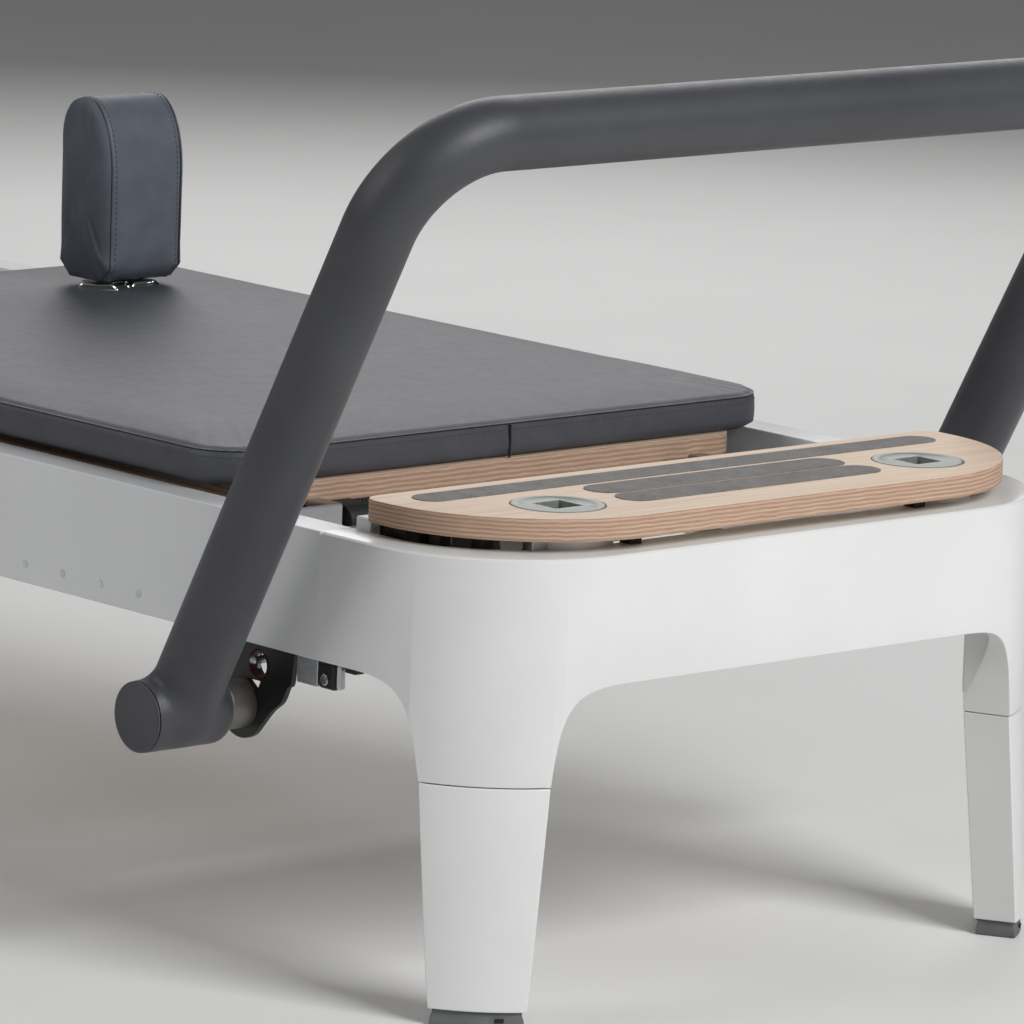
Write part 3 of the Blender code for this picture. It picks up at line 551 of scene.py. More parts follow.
def make_looks():
    board_low, board_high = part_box("carriage_board")
    deck_low, deck_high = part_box("standing_platform")
    return {
        "white": powder_coat("white_powder_coat", (226, 227, 226), 0.36),
        "rail": powder_coat("rail_powder_coat", (224, 225, 227), 0.34),
        "plug": moulded("rail_plug", (196, 197, 199), 0.45),
        "alloy": anodised("anodised_alloy", (168, 169, 173)),
        "rubber": moulded("foot_rubber", (92, 95, 95), 0.75, 900.0, 0.0001),
        "black": moulded("black_satin", (13, 13, 14), 0.42),
        "buffer": moulded("buffer_rubber", (16, 16, 17), 0.55, 900.0, 0.0001),
        "deck": plywood("platform_plywood", deck_low.z, deck_high.z, 11),
        "board": plywood("carriage_plywood", board_low.z, board_high.z, 9),
        "socket": worked_metal("socket_steel", (160, 164, 160), 0.50, (25, 700, 25), 0.6),
        "plate": worked_metal("zinc_plate", (178, 184, 188), 0.30, (500, 30, 500)),
        "steel": worked_metal("bright_steel", (205, 207, 209), 0.16, (40, 40, 900)),
        "chrome": worked_metal("chrome_plate", (222, 223, 220), 0.07, (15, 15, 15)),
        "grip": grit("grip_grit", (146, 144, 141)),
        "zinc": worked_metal("zinc_plate_pale", (206, 209, 212), 0.46, (300, 60, 300)),
        # Painted highlight: the pivot boss's pale warm metal colour stands in for the highlight on its
        # black metal.
        "boss_highlight": worked_metal("boss_painted_highlight", (132, 128, 122), 0.42, (60, 60, 60), 0.7),
        "cover": foam_skin("footbar_foam", (66, 67, 72)),
        "vinyl": leather_like("pad_vinyl", (78, 79, 85), 0.50),
        "dark_vinyl": leather_like("shoulder_vinyl", (91, 96, 106), 0.52),
        "piping": leather_like("piping_vinyl", (34, 35, 39), 0.40),
        "thread": thread("stitch_thread", (66, 68, 75)),
        "bronze": worked_metal("bush_bronze", (84, 58, 48), 0.38, (300, 30, 300)),
        "spring": worked_metal("spring_wire", (84, 86, 90), 0.35, (80, 80, 80), 0.7),
    }


# ---------------------------------------------------------------- outer frame


def outline_place(s):
    """(from the end face, from the side face) of an outline point, and its inward direction.

    s is the distance along the outline from the middle of the rounded corner: less than zero on
    the side face, more than zero on the end face."""
    if s <= -HALF_ARC:
        return Vector((CORNER_RADIUS - HALF_ARC - s, 0)), Vector((0, 1))
    if s >= HALF_ARC:
        return Vector((0, CORNER_RADIUS - HALF_ARC + s)), Vector((1, 0))
    angle = math.pi / 4 + s / CORNER_RADIUS
    inward = Vector((math.sin(angle), math.cos(angle)))
    return Vector((CORNER_RADIUS, CORNER_RADIUS)) - CORNER_RADIUS * inward, inward


def curve_point(points, t):
    """A point of a cubic Bezier curve."""
    shares = ((1 - t) ** 3, 3 * t * (1 - t) ** 2, 3 * t * t * (1 - t), t**3)
    return [sum(share * point[i] for share, point in zip(shares, points)) for i in (0, 1)]


def fillet_stations(fillet, sign, steps=16):
    """Stations from a leg up to the casting's level edge, where the leg's depth fades out."""
    stations = []
    for i in range(steps + 1):
        t = i / steps
        length, height = curve_point(fillet, t)
        fade = max(0, 1 - t / FILLET_THICKENING) ** 2
        stations.append((sign * length, height, WALL + (LEG_TOP_DEPTH - WALL) * fade))
    return stations


def leg_places(halves, steps=28):
    side_half, end_half = halves
    return [(side_half + end_half) * i / steps - side_half for i in range(steps + 1)]


def rounded_corner(before, corner, after, radius, steps=3):
    """Points that round one corner of a section."""
    corner = Vector(corner)
    start = corner + (Vector(before) - corner).normalized() * radius
    end = corner + (Vector(after) - corner).normalized() * radius
    points = []
    for i in range(steps + 1):
        t = i / steps
        points.append(start * (1 - t) ** 2 + corner * 2 * t * (1 - t) + end * t * t)
    return points


def wall_section(station):
    """The end casting's section as (depth inward, height), with its edges rounded."""
    s, bottom, depth = station
    lip = SIDE_LIP + (END_LIP - SIDE_LIP) * min(1, max(0, (s + HALF_ARC) / HALF_ARC))
    under = RAIL_TOP - LIP_THICKNESS
    corners = ((0, bottom), (0, RAIL_TOP), (lip, RAIL_TOP), (lip, under), (depth, under), (depth, bottom))
    radii = (0.0015, 0.0045, 0.0020, 0.0015, 0.002, 0.0015)
    points = []
    for i, corner in enumerate(corners):
        points += rounded_corner(corners[i - 1], corner, corners[(i + 1) % len(corners)], radii[i])
    return points


def wall_stations(level_steps=6):
    """(place, lower edge, depth) from the seam with the side rail to the middle of the end."""
    seam = -HALF_ARC - (HALF_LENGTH - FOOT_LOW.x - CORNER_RADIUS) + SEAM_GAP / 2
    centre = HALF_ARC + HALF_WIDTH - CORNER_RADIUS
    side_fillet = fillet_stations(SIDE_FILLET, -1)[::-1]
    leg = [(s, LEG_SEAM, LEG_TOP_DEPTH) for s in leg_places(LEG_TOP_HALVES)]
    end_fillet = fillet_stations(END_FILLET, 1)
    first = side_fillet[0][0]
    last = end_fillet[-1][0]
    side = [(seam + (first - seam) * i / 3, RAIL_BOTTOM, WALL) for i in range(3)]
    shares = [i / level_steps for i in range(1, level_steps + 1)]
    level = [(last + (centre - last) * share, RAIL_BOTTOM, WALL) for share in shares]
    return side + side_fillet + leg + end_fillet + level


def corner_point(end, side, along, height):
    return Vector((end * (HALF_LENGTH - along[0]), side * (HALF_WIDTH - along[1]), height))


def wall_ring(end, side, station):
    point, inward = outline_place(station[0])
    return [corner_point(end, side, point + inward * d, h) for d, h in wall_section(station)]


def make_end_castings(looks):
    for end, name in ((1, "foot"), (-1, "head")):
        node = f"{name}_end_frame"
        stations = wall_stations()
        rings = [wall_ring(end, -1, station) for station in stations]
        rings += [wall_ring(end, 1, station) for station in reversed(stations[:-1])]
        piece(f"{name}_end_casting", loft(rings), "frame", looks["white"], (node,), angle=28)
        make_cross_wall(end, name, looks)


def make_cross_wall(end, name, looks):
    """The beam across the end casting; at the foot end it carries the platform, and a dark
    bracket rail with screws runs in front of it."""
    back, front = sorted(end * from_foot(distance) for distance in CROSS_WALL)
    half = HALF_WIDTH - WALL + 0.001
    bm = block((back, -half, CROSS_WALL_Z[0]), (front, half, CROSS_WALL_Z[1]))
    if end > 0:
        inner = HALF_WIDTH - SIDE_LIP - 0.002
        block((back + 0.001, -inner, 0.356), (front - 0.001, inner, FOOT_HIGH.z), bm)
        make_platform_rail(looks)
    piece(f"{name}_cross_wall", bm, "frame", looks["white"], bevel=0.0015)


def make_platform_rail(looks):
    """Black angle under the platform's back edge, with the screws that hold the platform."""
    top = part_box("standing_platform")[0].z - 2 * FIT_GAP
    inner = HALF_WIDTH - SIDE_LIP - 0.010
    back, front, tab_front = (from_foot(distance) for distance in (0.1815, 0.150, 0.139))
    bm = block((back, -inner, HARDWARE_BASE), (front, inner, top))
    screws = bmesh.new()
    for i in range(-3, 4):
        y = i * 0.088
        block((front, y - 0.009, 0.360), (tab_front, y + 0.009, top), bm)
        bolt((tab_front, y, 0.373), "X", 1, 0.0038, 0.003, screws)
    piece("platform_angle", bm, "frame", looks["black"], bevel=0.0010)
    piece("platform_angle_screws", screws, "frame", looks["plate"], bevel=0.0003)


def leg_ring(end, side, halves, depth, height, inset=0.0):
    """A leg's outline at a height: its outer side is the rounded corner, moved out by the splay."""
    splay = LEG_SPLAY * (LEG_SEAM - height) / LEG_SEAM
    outer = []
    inner = []
    for s in leg_places([half - inset for half in halves]):
        point, inward = outline_place(s)
        point = point - Vector((splay, splay))
        outer.append(corner_point(end, side, point + inward * inset, height))
        inner.append(corner_point(end, side, point + inward * (depth - inset), height))
    return outer + inner[::-1]


def make_legs(looks):
    for end, end_name in ((1, "foot"), (-1, "head")):
        for side, side_name in SIDES:
            tag = f"{end_name}_{side_name}"
            low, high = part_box(f"leg_{tag}")
            rings = []
            for i in range(9):
                t = i / 8
                halves = [a + (b - a) * t**0.9 for a, b in zip(LEG_FOOT_HALVES, LEG_TOP_HALVES)]
                depth = LEG_FOOT_DEPTH + (LEG_TOP_DEPTH - LEG_FOOT_DEPTH) * t
                rings.append(leg_ring(end, side, halves, depth, low.z + (high.z - low.z - SEAM_GAP) * t))
            piece(
                f"leg_shell_{tag}", loft(rings), "frame", looks["white"], (f"leg_{tag}",),
                bevel=0.0012,
            )
            make_foot_pad(end, side, tag, looks)


def make_foot_pad(end, side, tag, looks):
    """Rubber pad under a leg: a tread that flares at the floor, and a screw slot in its face, drawn as a
    black bar of painted shade.
    """
    low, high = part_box(f"foot_pad_{tag}")
    height = high.z - low.z
    rings = []
    for share, inset in ((0.0, 0.0022), (0.12, 0.0012), (0.55, 0.0018), (0.8, 0.0030), (1.0, 0.0030)):
        rings.append(leg_ring(end, side, LEG_FOOT_HALVES, LEG_FOOT_DEPTH, low.z + height * share, inset))
    piece(
        f"foot_pad_rubber_{tag}", loft(rings), "frame", looks["rubber"], (f"foot_pad_{tag}",),
        bevel=0.0008,
    )
    point, inward = outline_place(0.018)
    point = point - Vector((LEG_SPLAY, LEG_SPLAY))
    centre = corner_point(end, side, point + inward * 0.0015, low.z + height * 0.55)
    outward = Vector((end * inward.x, side * inward.y, 0))
    # Painted shade: a black bar on the face stands in for the shade inside the screw slot.
    slot_shade = bmesh.new()
    bmesh.ops.create_cube(slot_shade, size=1.0, matrix=Matrix.Diagonal((0.007, 0.0016, 0.0032, 1)))
    turn = Matrix.Rotation(math.atan2(outward.y, outward.x) + math.pi / 2, 4, "Z")
    slot_shade.transform(Matrix.Translation(centre) @ turn)
    piece(f"foot_pad_slot_{tag}", slot_shade, "frame", looks["black"], bevel=0.0004)


def rail_profile(side):
    """The channel's section as (y, z): outer wall, lip, inner wall, track and lower flange."""
    outer = HALF_WIDTH
    inner = outer - SIDE_LIP
    sheet = RAIL_SHEET
    track = RAIL_LOW.y
    points = (
        (outer, RAIL_BOTTOM), (outer, RAIL_TOP), (inner, RAIL_TOP), (inner, TRACK_TOP), (track, TRACK_TOP),
        (track, TRACK_TOP - sheet), (inner + sheet, TRACK_TOP - sheet), (inner + sheet, RAIL_TOP - sheet),
        (outer - sheet, RAIL_TOP - sheet), (outer - sheet, RAIL_BOTTOM + sheet),
        (outer - RAIL_FLANGE, RAIL_BOTTOM + sheet), (outer - RAIL_FLANGE, RAIL_BOTTOM),
    )
    return [(side * y, z) for y, z in points]


def make_rails(looks):
    reach = RAIL_HIGH.x
    for side, name in SIDES:
        bm = prism(rail_profile(side), -reach, reach, "X")
        piece(
            f"rail_shell_{name}", bm, "frame", looks["rail"], (f"side_rail_{name}",),
            bevel=0.0012,
        )
        plugs = bmesh.new()
        for i in range(PLUG_COUNT):
            x = from_foot(PLUG_FIRST + i * PLUG_PITCH)
            face = side * HALF_WIDTH
            rise = side * 0.0008
            rim = (face + rise, PLUG_RADIUS * 0.8)
            profile = ((face - rise, PLUG_RADIUS), (face + rise * 0.6, PLUG_RADIUS), rim)
            lathe(profile, (x, PLUG_HEIGHT), "Y", 24, plugs)
        piece(f"rail_plugs_{name}", plugs, "frame", looks["plug"])


# ---------------------------------------------------------------- platform

PLATFORM_BACK_RADIUS = 0.017
PLATFORM_FRONT_RADIUS = 0.150
PLATFORM_HOLE = 0.0388
SOCKET_HOLE = 0.01425
SOCKET_WALL = 0.003
HARDWARE_BASE = 0.352
SCREW_BLOCKS = ((0.150, 0.296), (0.118, 0.288), (0.085, 0.272), (0.036, 0.158))


def make_platform(looks):
    low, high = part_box("standing_platform")
    outline = rounded_rectangle(low, high, PLATFORM_BACK_RADIUS, PLATFORM_FRONT_RADIUS, 32)
    holes = []
    for _, name in SIDES:
        hole = circle(middle(f"platform_socket_{name}").xy, PLATFORM_HOLE, 64)
        holes.append(prism(hole, low.z - 0.01, high.z + 0.01))
    bm = cut(prism(outline, low.z, high.z), holes)
    piece(
        "platform_board", bm, "frame", looks["deck"], ("standing_platform",),
        bevel=0.0016, angle=50,
    )
    for _, name in SIDES:
        make_socket(name, low.z, looks)
    for name in ("back", "middle", "front"):
        node = f"grip_strip_{name}"
        strip_low, strip_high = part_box(node)
        trim = Vector((0.0006, 0.0006, 0))
        radius = (strip_high.x - strip_low.x) / 2 - 0.0008
        outline = rounded_rectangle(strip_low + trim, strip_high - trim, radius, radius, 16)
        bm = prism(outline, strip_low.z - 0.0002, strip_low.z + 0.0005)
        piece(f"{node}_grit", bm, "frame", looks["grip"], (node,), bevel=0.0002)
    make_platform_hardware(low.z, looks)


def make_socket(name, deck, looks):
    """Turned steel insert with a square hole down into a white boss; deck is the board's underside."""
    node = f"platform_socket_{name}"
    low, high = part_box(node)
    centre = middle(node)
    radius = (high.x - low.x) / 2
    profile = (
        (deck + FIT_GAP, radius - 0.001), (high.z - 0.0012, radius), (high.z - 0.0003, radius - 0.0006),
        (high.z, radius - 0.0016), (high.z, radius - 0.0070), (high.z - 0.0005, radius - 0.0076),
    )

    def square(half):
        corners = ((-1, -1), (1, -1), (1, 1), (-1, 1))
        return [(centre.x + a * half, centre.y + b * half) for a, b in corners]

    hole = square(SOCKET_HOLE)
    bm = cut(lathe(profile, centre.xy, "Z", 64), [prism(hole, deck - 0.06, 0.5)])
    piece(
        f"socket_insert_{name}", bm, "frame", looks["socket"], (node,),
        bevel=0.0006, angle=50,
    )
    outer = square(SOCKET_HOLE + SOCKET_WALL)
    top = deck - 0.0001
    levels = ((outer, low.z), (outer, top), (hole, top), (hole, low.z + 0.02))
    walls = loft([[(x, y, z) for x, y in ring] for ring, z in levels])
    piece(f"socket_tube_{name}", walls, "frame", looks["plate"])
    boss = ring_solid(
        (
            (0.340, 0.030), (0.340, 0.040), (deck - 0.012, 0.0455), (deck - 0.0004, 0.0455),
            (deck - 0.0004, 0.026), (0.36, 0.026),
        ),
        centre.xy, "Z", 64,
    )
    piece(f"socket_boss_{name}", boss, "frame", looks["white"], bevel=0.0012)


def make_platform_hardware(deck, looks):
    """Screw blocks, clips and screws between the platform's underside and the casting's lip."""
    top = deck - 2 * FIT_GAP
    for side, name in SIDES:
        blocks = bmesh.new()
        screws = bmesh.new()
        for distance, place_y in SCREW_BLOCKS:
            x, y = from_foot(distance), side * place_y
            block((x - 0.007, y - 0.006, HARDWARE_BASE), (x + 0.007, y + 0.006, top), blocks)
            bolt((x, y, deck - 0.0035), "Z", -1, 0.0035, 0.003, screws)
        piece(f"platform_blocks_{name}", blocks, "frame", looks["black"], bevel=0.0008)
        piece(f"platform_screws_{name}", screws, "frame", looks["plate"], bevel=0.0003)
        y = side * 0.240
        clip = block((from_foot(0.060), y - 0.012, 0.3768), (from_foot(0.048), y + 0.012, deck - 0.0005))
        piece(f"platform_clip_{name}", clip, "frame", looks["plate"], bevel=0.0006)


# ---------------------------------------------------------------- footbar

BAR_RADIUS = 0.0294
BAR_BEND = 0.087
HUB_FILLET = 0.012
HUB_ROUND = 0.011


def footbar_measures():
    """Pivot, the arm's direction, its length and the arms' distance from the middle."""
    pivot = joint_place("footbar_tilt")
    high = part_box("footbar_cover")[1]
    top = Vector((high.x - BAR_RADIUS, 0, high.z - BAR_RADIUS))
    up = top - pivot
    return pivot, up.normalized(), up.length, high.y - BAR_RADIUS


def segment_distance(points, start, end):
    line = end - start
    share = np.clip(((points - start) @ line) / (line @ line), 0, 1)
    return np.linalg.norm(points - start - share[:, None] * line, axis=1)


def bar_distance(points, reach, arm, hub_inner, hub_outer):
    """Signed distance to the footbar in its own plane: (across the plane, sideways, up the arm)."""
    mirrored = points.copy()
    mirrored[:, 1] = np.abs(mirrored[:, 1])
    inner = arm - BAR_BEND
    across = segment_distance(mirrored, np.array((0, 0, reach)), np.array((0, inner, reach)))
    arm_ends = np.array(((0, arm, HUB_FILLET), (0, arm, reach - BAR_BEND)))
    upright = segment_distance(mirrored, *arm_ends)
    from_centre = mirrored - np.array((0, inner, reach - BAR_BEND))
    flat = np.hypot(from_centre[:, 1], from_centre[:, 2]) - BAR_BEND
    bend = np.hypot(from_centre[:, 0], flat)
    in_bend = (from_centre[:, 1] > 0) & (from_centre[:, 2] > 0)
    bar = np.where(in_bend, bend, np.minimum(across, upright)) - BAR_RADIUS
    radial = np.hypot(mirrored[:, 0], mirrored[:, 2]) - (BAR_RADIUS - HUB_ROUND)
    half = (hub_outer - hub_inner) / 2
    axial = np.abs(mirrored[:, 1] - (hub_inner + hub_outer) / 2) - (half - HUB_ROUND)
    outside = np.hypot(np.maximum(radial, 0), np.maximum(axial, 0))
    hub = outside + np.minimum(np.maximum(radial, axial), 0) - HUB_ROUND
    blend = np.clip(0.5 + 0.5 * (hub - bar) / HUB_FILLET, 0, 1)
    return hub * (1 - blend) + bar * blend - HUB_FILLET * blend * (1 - blend)


def make_footbar(looks):
    """The soft cover: a bent bar that flows into its two hubs with a moulded fillet."""
    pivot, up, reach, arm = footbar_measures()
    hub_low, hub_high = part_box("footbar_hub_right")
    hub_inner = hub_low.y
    hub_outer = hub_high.y + HUB_ROUND - 0.001
    path = [(0, -arm, 0)]
    inner = arm - BAR_BEND
    path += [(0, a, b) for a, b in arc((-inner, reach - BAR_BEND), BAR_BEND, 180, 90, 12)]
    path += [(0, a, b) for a, b in arc((inner, reach - BAR_BEND), BAR_BEND, 90, 0, 12)]
    path += [(0, arm, 0)]
    bm = tube(path, BAR_RADIUS, 32)
    for side in (-1, 1):
        tube([(0, side * (hub_inner + 0.004), 0), (0, side * (hub_outer - 0.004), 0)], BAR_RADIUS, 32, bm)
    rough = solid_object("footbar_rough", bm)
    remesh = rough.modifiers.new("Remesh", "REMESH")
    remesh.mode = "VOXEL"
    remesh.voxel_size = 0.0036
    apply_modifiers(rough)
    mesh = rough.data
    bpy.data.objects.remove(rough)
    points = np.empty(len(mesh.vertices) * 3)
    mesh.vertices.foreach_get("co", points)
    points = points.reshape(-1, 3)

    def measure(places):
        return bar_distance(places, reach, arm, hub_inner, hub_outer)

    nudge = 1e-5
    for _ in range(6):
        distance = measure(points)
        slopes = [(measure(points + step) - distance) / nudge for step in np.eye(3) * nudge]
        slope = np.stack(slopes, axis=1)
        length = np.maximum(np.linalg.norm(slope, axis=1), 0.3)
        points = points - slope * (distance / length**2)[:, None]
    points[:, 1] = np.clip(points[:, 1], -hub_high.y, hub_high.y)
    sideways = np.array((0.0, 1.0, 0.0))
    upward = np.array(up)
    normal = np.cross(sideways, upward)
    world = np.array(pivot) + points[:, :1] * normal + points[:, 1:2] * sideways + points[:, 2:3] * upward
    mesh.vertices.foreach_set("co", world.astype(np.float32).ravel())
    mesh.update()
    bm = bmesh.new()
    bm.from_mesh(mesh)
    nodes = ("footbar_cover", "footbar_hub_left", "footbar_hub_right")
    cover = piece("footbar_soft_cover", bm, "footbar", looks["cover"], nodes, angle=70)
    for side, name in SIDES:
        make_end_cap(side, name, pivot, looks)


def make_end_cap(side, name, pivot, looks):
    """Flat cap with a rounded rim, pressed into the hub's outer end."""
    node = f"footbar_end_cap_{name}"
    low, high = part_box(node)
    inner, outer = y_ends(node, side)
    radius = (high.x - low.x) / 2
    rise = outer - inner
    profile = (
        (inner - rise * 0.3, radius - 0.0016), (inner + rise * 0.25, radius - 0.0016),
        (inner + rise * 0.3, radius - 0.0004), (inner + rise * 0.75, radius - 0.0004),
        (outer, radius - 0.0018), (outer, radius - 0.0030), (outer - rise * 0.10, radius - 0.0042),
    )
    bm = lathe(profile, (pivot.x, pivot.z), "Y", 96)
    piece(node + "_disc", bm, "footbar", looks["cover"], (node,), bevel=0.0003, angle=25)


# ---------------------------------------------------------------- brackets and locks

# The plate's edge is in X from the pivot and Z from the floor; its gap is in X from the foot end.
PLATE_Y = (0.329, 0.334)
PLATE_RADIUS = 0.029
PLATE_EDGE = ((0.0205, 0.1992), (0.0373, 0.2177), (0.0509, 0.2284), (0.0579, 0.2412), (0.0628, 0.2461))
PLATE_FRONT = 0.066
PLATE_GAP = ((0.2990, 0.2415), (0.2854, 0.2315), (0.2810, 0.2415))
WINDOW = (from_foot(0.2840), 0.2550)
WINDOW_RADIUS = 0.0125
SHAFT_HOLE_RADIUS = 0.0121
PIN_RADIUS = 0.0098


def make_brackets(looks):
    """A thin plate at each side, with the pivot's hole, the lock pin's window and a small gap."""
    pivot = footbar_measures()[0]
    x, z = pivot.x, pivot.z
    for side, name in SIDES:
        node = f"footbar_bracket_{name}"
        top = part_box(node)[1].z
        plate_inner, plate_outer = (side * y for y in PLATE_Y)
        edge = [(x + a, 0, b) for a, b in (*PLATE_EDGE, (PLATE_FRONT, top))]
        outline = arc((x, z), PLATE_RADIUS, 150, 315, 28)[:-1]
        outline += [(p.x, p.z) for p in smooth_path(edge, 4)]
        outline += [(x - PLATE_RADIUS, top)]
        gap = [(from_foot(a), b) for a, b in PLATE_GAP]
        openings = (circle(WINDOW, WINDOW_RADIUS, 48), circle((x, z), SHAFT_HOLE_RADIUS, 48), gap)
        holes = [prism(opening, side * 0.30, side * 0.36, "Y") for opening in openings]
        bm = cut(prism(outline, plate_inner, plate_outer, "Y"), holes)
        piece(
            f"bracket_plate_{name}", bm, "frame", looks["black"], (node,),
            bevel=0.0012, angle=40,
        )
        make_bracket_details(side, name, (x, z), looks)
        make_lock_block(side, name, looks)
        make_lock_pin(side, name, looks)


def make_bracket_details(side, name, pivot, looks):
    """The boss round the pivot, the window's bush, the pivot shaft and two bolts. The boss is black metal;
    its pale warm metal colour is a painted highlight.
    """

    def turned(part, profile, centre, sides, look, bevel):
        bm = ring_solid([(side * y, radius) for y, radius in profile], centre, "Y", sides)
        piece(f"{part}_{name}", bm, "frame", looks[look], bevel=bevel)

    boss = ((0.333, 0.0124), (0.333, 0.0205), (0.3570, 0.0205), (0.3594, 0.0185), (0.3594, 0.0124))
    # The boss's pale warm look is a painted highlight on black metal.
    turned("bracket_hub", boss, pivot, 64, "boss_highlight", 0.0006)
    bush = ((0.3220, 0.0112), (0.3220, 0.0123), (0.3346, 0.0123), (0.3346, 0.0112))
    turned("bracket_bush", bush, WINDOW, 48, "bronze", 0.0004)
    node = f"footbar_shaft_{name}"
    low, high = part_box(node)
    inner, outer = y_ends(node, side)
    radius = (high.x - low.x) / 2
    profile = [
        (inner + side * y, radius - step)
        for y, step in ((0, 0.0015), (0.0015, 0), (0.006, 0), (0.0062, 0.001), (0.0078, 0.001), (0.008, 0))
    ]
    shaft = lathe([*profile, (outer, radius)], pivot, "Y", 48)
    piece(f"pivot_shaft_{name}", shaft, "frame", looks["steel"], (node,), angle=25)
    bolts = bmesh.new()
    for dx in (-0.018, 0.054):
        bolt((pivot[0] + dx, side * PLATE_Y[0], 0.2615), "Y", -side, 0.0045, 0.004, bolts)
    piece(f"bracket_bolts_{name}", bolts, "frame", looks["plate"], bevel=0.0003)


def make_lock_pin(side, name, looks):
    """Spring plunger: a knurled knob in the window's bush, its pin and a cross pin near the end."""
    node = f"lock_pin_{name}"
    inner, outer = y_ends(node, side)
    centre = middle(node)
    x, z = centre.x, centre.z
    knob = ((0, 0.0080), (0.001, PIN_RADIUS), (0.011, PIN_RADIUS), (0.012, 0.0080), (0.0125, 0.0034))
    profile = [(inner + side * y, radius) for y, radius in knob]
    pin = lathe([*profile, (outer - side * 0.002, 0.0034), (outer, 0.0022)], (x, z), "Y", 36)
    for ridge in circle((x, z), PIN_RADIUS, 18):
        lathe(((inner + side * 0.0015, 0.0007), (inner + side * 0.0105, 0.0007)), ridge, "Y", 6, pin)
    cross_pin = ((z - 0.0070, 0.0013), (z + 0.0055, 0.0013))
    lathe(cross_pin, (x, outer - side * 0.008), "Z", 16, pin)
    piece(f"lock_plunger_{name}", pin, node, looks["plate"], (node,), angle=30)


def make_lock_block(side, name, looks):
    """Black lock housing under the rail, with a silver slide plate, an end plate and a screw."""
    node = f"lock_block_{name}"
    low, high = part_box(node)
    inner, outer = y_ends(node, side)
    plate_start, plate_end, black_end = (from_foot(distance) for distance in (0.2312, 0.2054, 0.1850))

    def slab(x0, x1, bottom, face):
        near, far = sorted((inner, face))
        return block((x0, near, bottom), (x1, far, high.z))

    silver = slab(plate_start, plate_end, low.z + 0.0004, outer + side * 0.0004)
    piece(f"lock_slide_plate_{name}", silver, "frame", looks["zinc"], bevel=0.0008)
    housing = slab(plate_end + FIT_GAP, black_end, low.z, outer)
    piece(f"lock_housing_{name}", housing, "frame", looks["black"], (node,), bevel=0.0030)
    end_plate = slab(black_end + FIT_GAP, high.x, low.z + 0.0012, outer - side * 0.001)
    piece(f"lock_end_plate_{name}", end_plate, "frame", looks["zinc"], bevel=0.0045, segments=4)
    near, far = sorted((side * 0.322, side * 0.332))
    tip = block((from_foot(0.178), near, high.z - 0.0060), (from_foot(0.165), far, high.z))
    piece(f"lock_tip_{name}", tip, "frame", looks["black"], bevel=0.0010)
    centre = ((plate_end + black_end) / 2, (low.z + high.z) / 2 - 0.003)
    head = ((-0.001, 0.0046), (0.0018, 0.0046), (0.0024, 0.0038), (0.0024, 0.0022), (0.0008, 0.0021))
    screw = lathe([(outer + side * y, radius) for y, radius in head], centre, "Y", 32)
    piece(f"lock_screws_{name}", screw, "frame", looks["plate"], angle=30)


# ---------------------------------------------------------------- padded pieces

PAD_MARGIN = Vector((0.001, 0.001, 0))
TOP_CLEARANCE = 0.0008
ON_SEAM = 0.0012
WELT_RADIUS = 0.0011
SHOULDER_MARGIN = 0.0012
SHOULDER_CHAMFER = 0.014
SHOULDER_ARCHES = (0.070, 0.045)
SHOULDER_SQUARING = 0.75

# The shoulder catch: (x, y outward, rise from the pad) of its bars and (x, x, y, y) of its plates,
# all from the post's middle.
CATCH_BARS = (
    (
        (-0.001, -0.0470, 0), (0.0036, -0.0454, 0.0038), (0.0120, -0.0367, 0.0038),
        (0.0202, -0.0279, 0.0038), (0.0235, -0.0240, 0.001),
    ),
    (
        (0.0222, -0.0030, 0.001), (0.0215, 0.0006, 0.0038), (0.0205, 0.0110, 0.0038),
        (0.0186, 0.0209, 0.0038), (0.0205, 0.0250, 0.0028), (0.0262, 0.0256, 0),
    ),
)
CATCH_PLATES = (
    (-0.020, 0.016, -0.029, -0.019), (-0.020, 0.016, 0.019, 0.029), (-0.012, 0.008, -0.026, 0.026),
)
LEVER = ((0.0237, -0.0512, 0.0012), (0.0292, -0.0411, 0.0016), (0.0347, -0.0310, 0.0016))


def outline_normals(outline):
    """Outward unit normals of a closed outline that runs anticlockwise."""
    points = np.array(outline)
    ahead = np.roll(points, -1, axis=0) - np.roll(points, 1, axis=0)
    normals = np.stack([ahead[:, 1], -ahead[:, 0]], axis=1)
    return normals / np.linalg.norm(normals, axis=1)[:, None]


def cushion_rings(outline, levels):
    """Rings of a closed pad from (height, outset, scale) levels; scale draws a ring to the middle."""
    points = np.array(outline)
    centre = (points.min(axis=0) + points.max(axis=0)) / 2
    normals = outline_normals(outline)
    rings = []
    for height, outset, scale in levels:
        ring = centre + (points + normals * outset - centre) * scale
        rings.append([(a, b, height) for a, b in ring])
    return rings


def cushion_levels(low, high, seam, band_bulge, edge, face_steps=14):
    """Levels of a boxed cushion: flat base, bulging side band, sewn groove and rounded top panel."""
    groove = 0.0014
    shares = [(i / face_steps) ** 0.8 for i in range(1, face_steps)]
    steps = [i / 6 for i in range(1, 6)]
    levels = [(low, -edge, share) for share in (*shares, 1.0)]
    levels += [(low + (seam - low) * t, band_bulge * math.sin(math.pi * t), 1.0) for t in steps]
    levels += [(seam - groove * 0.6, 0, 1.0), (seam, -groove, 1.0), (seam + groove * 0.6, 0, 1.0)]
    for angle in (t * math.pi / 2 for t in steps):
        levels.append((seam + (high - seam) * math.sin(angle), -edge * (1 - math.cos(angle)), 1.0))
    return levels + [(high, -edge, share) for share in (1.0, *reversed(shares))]


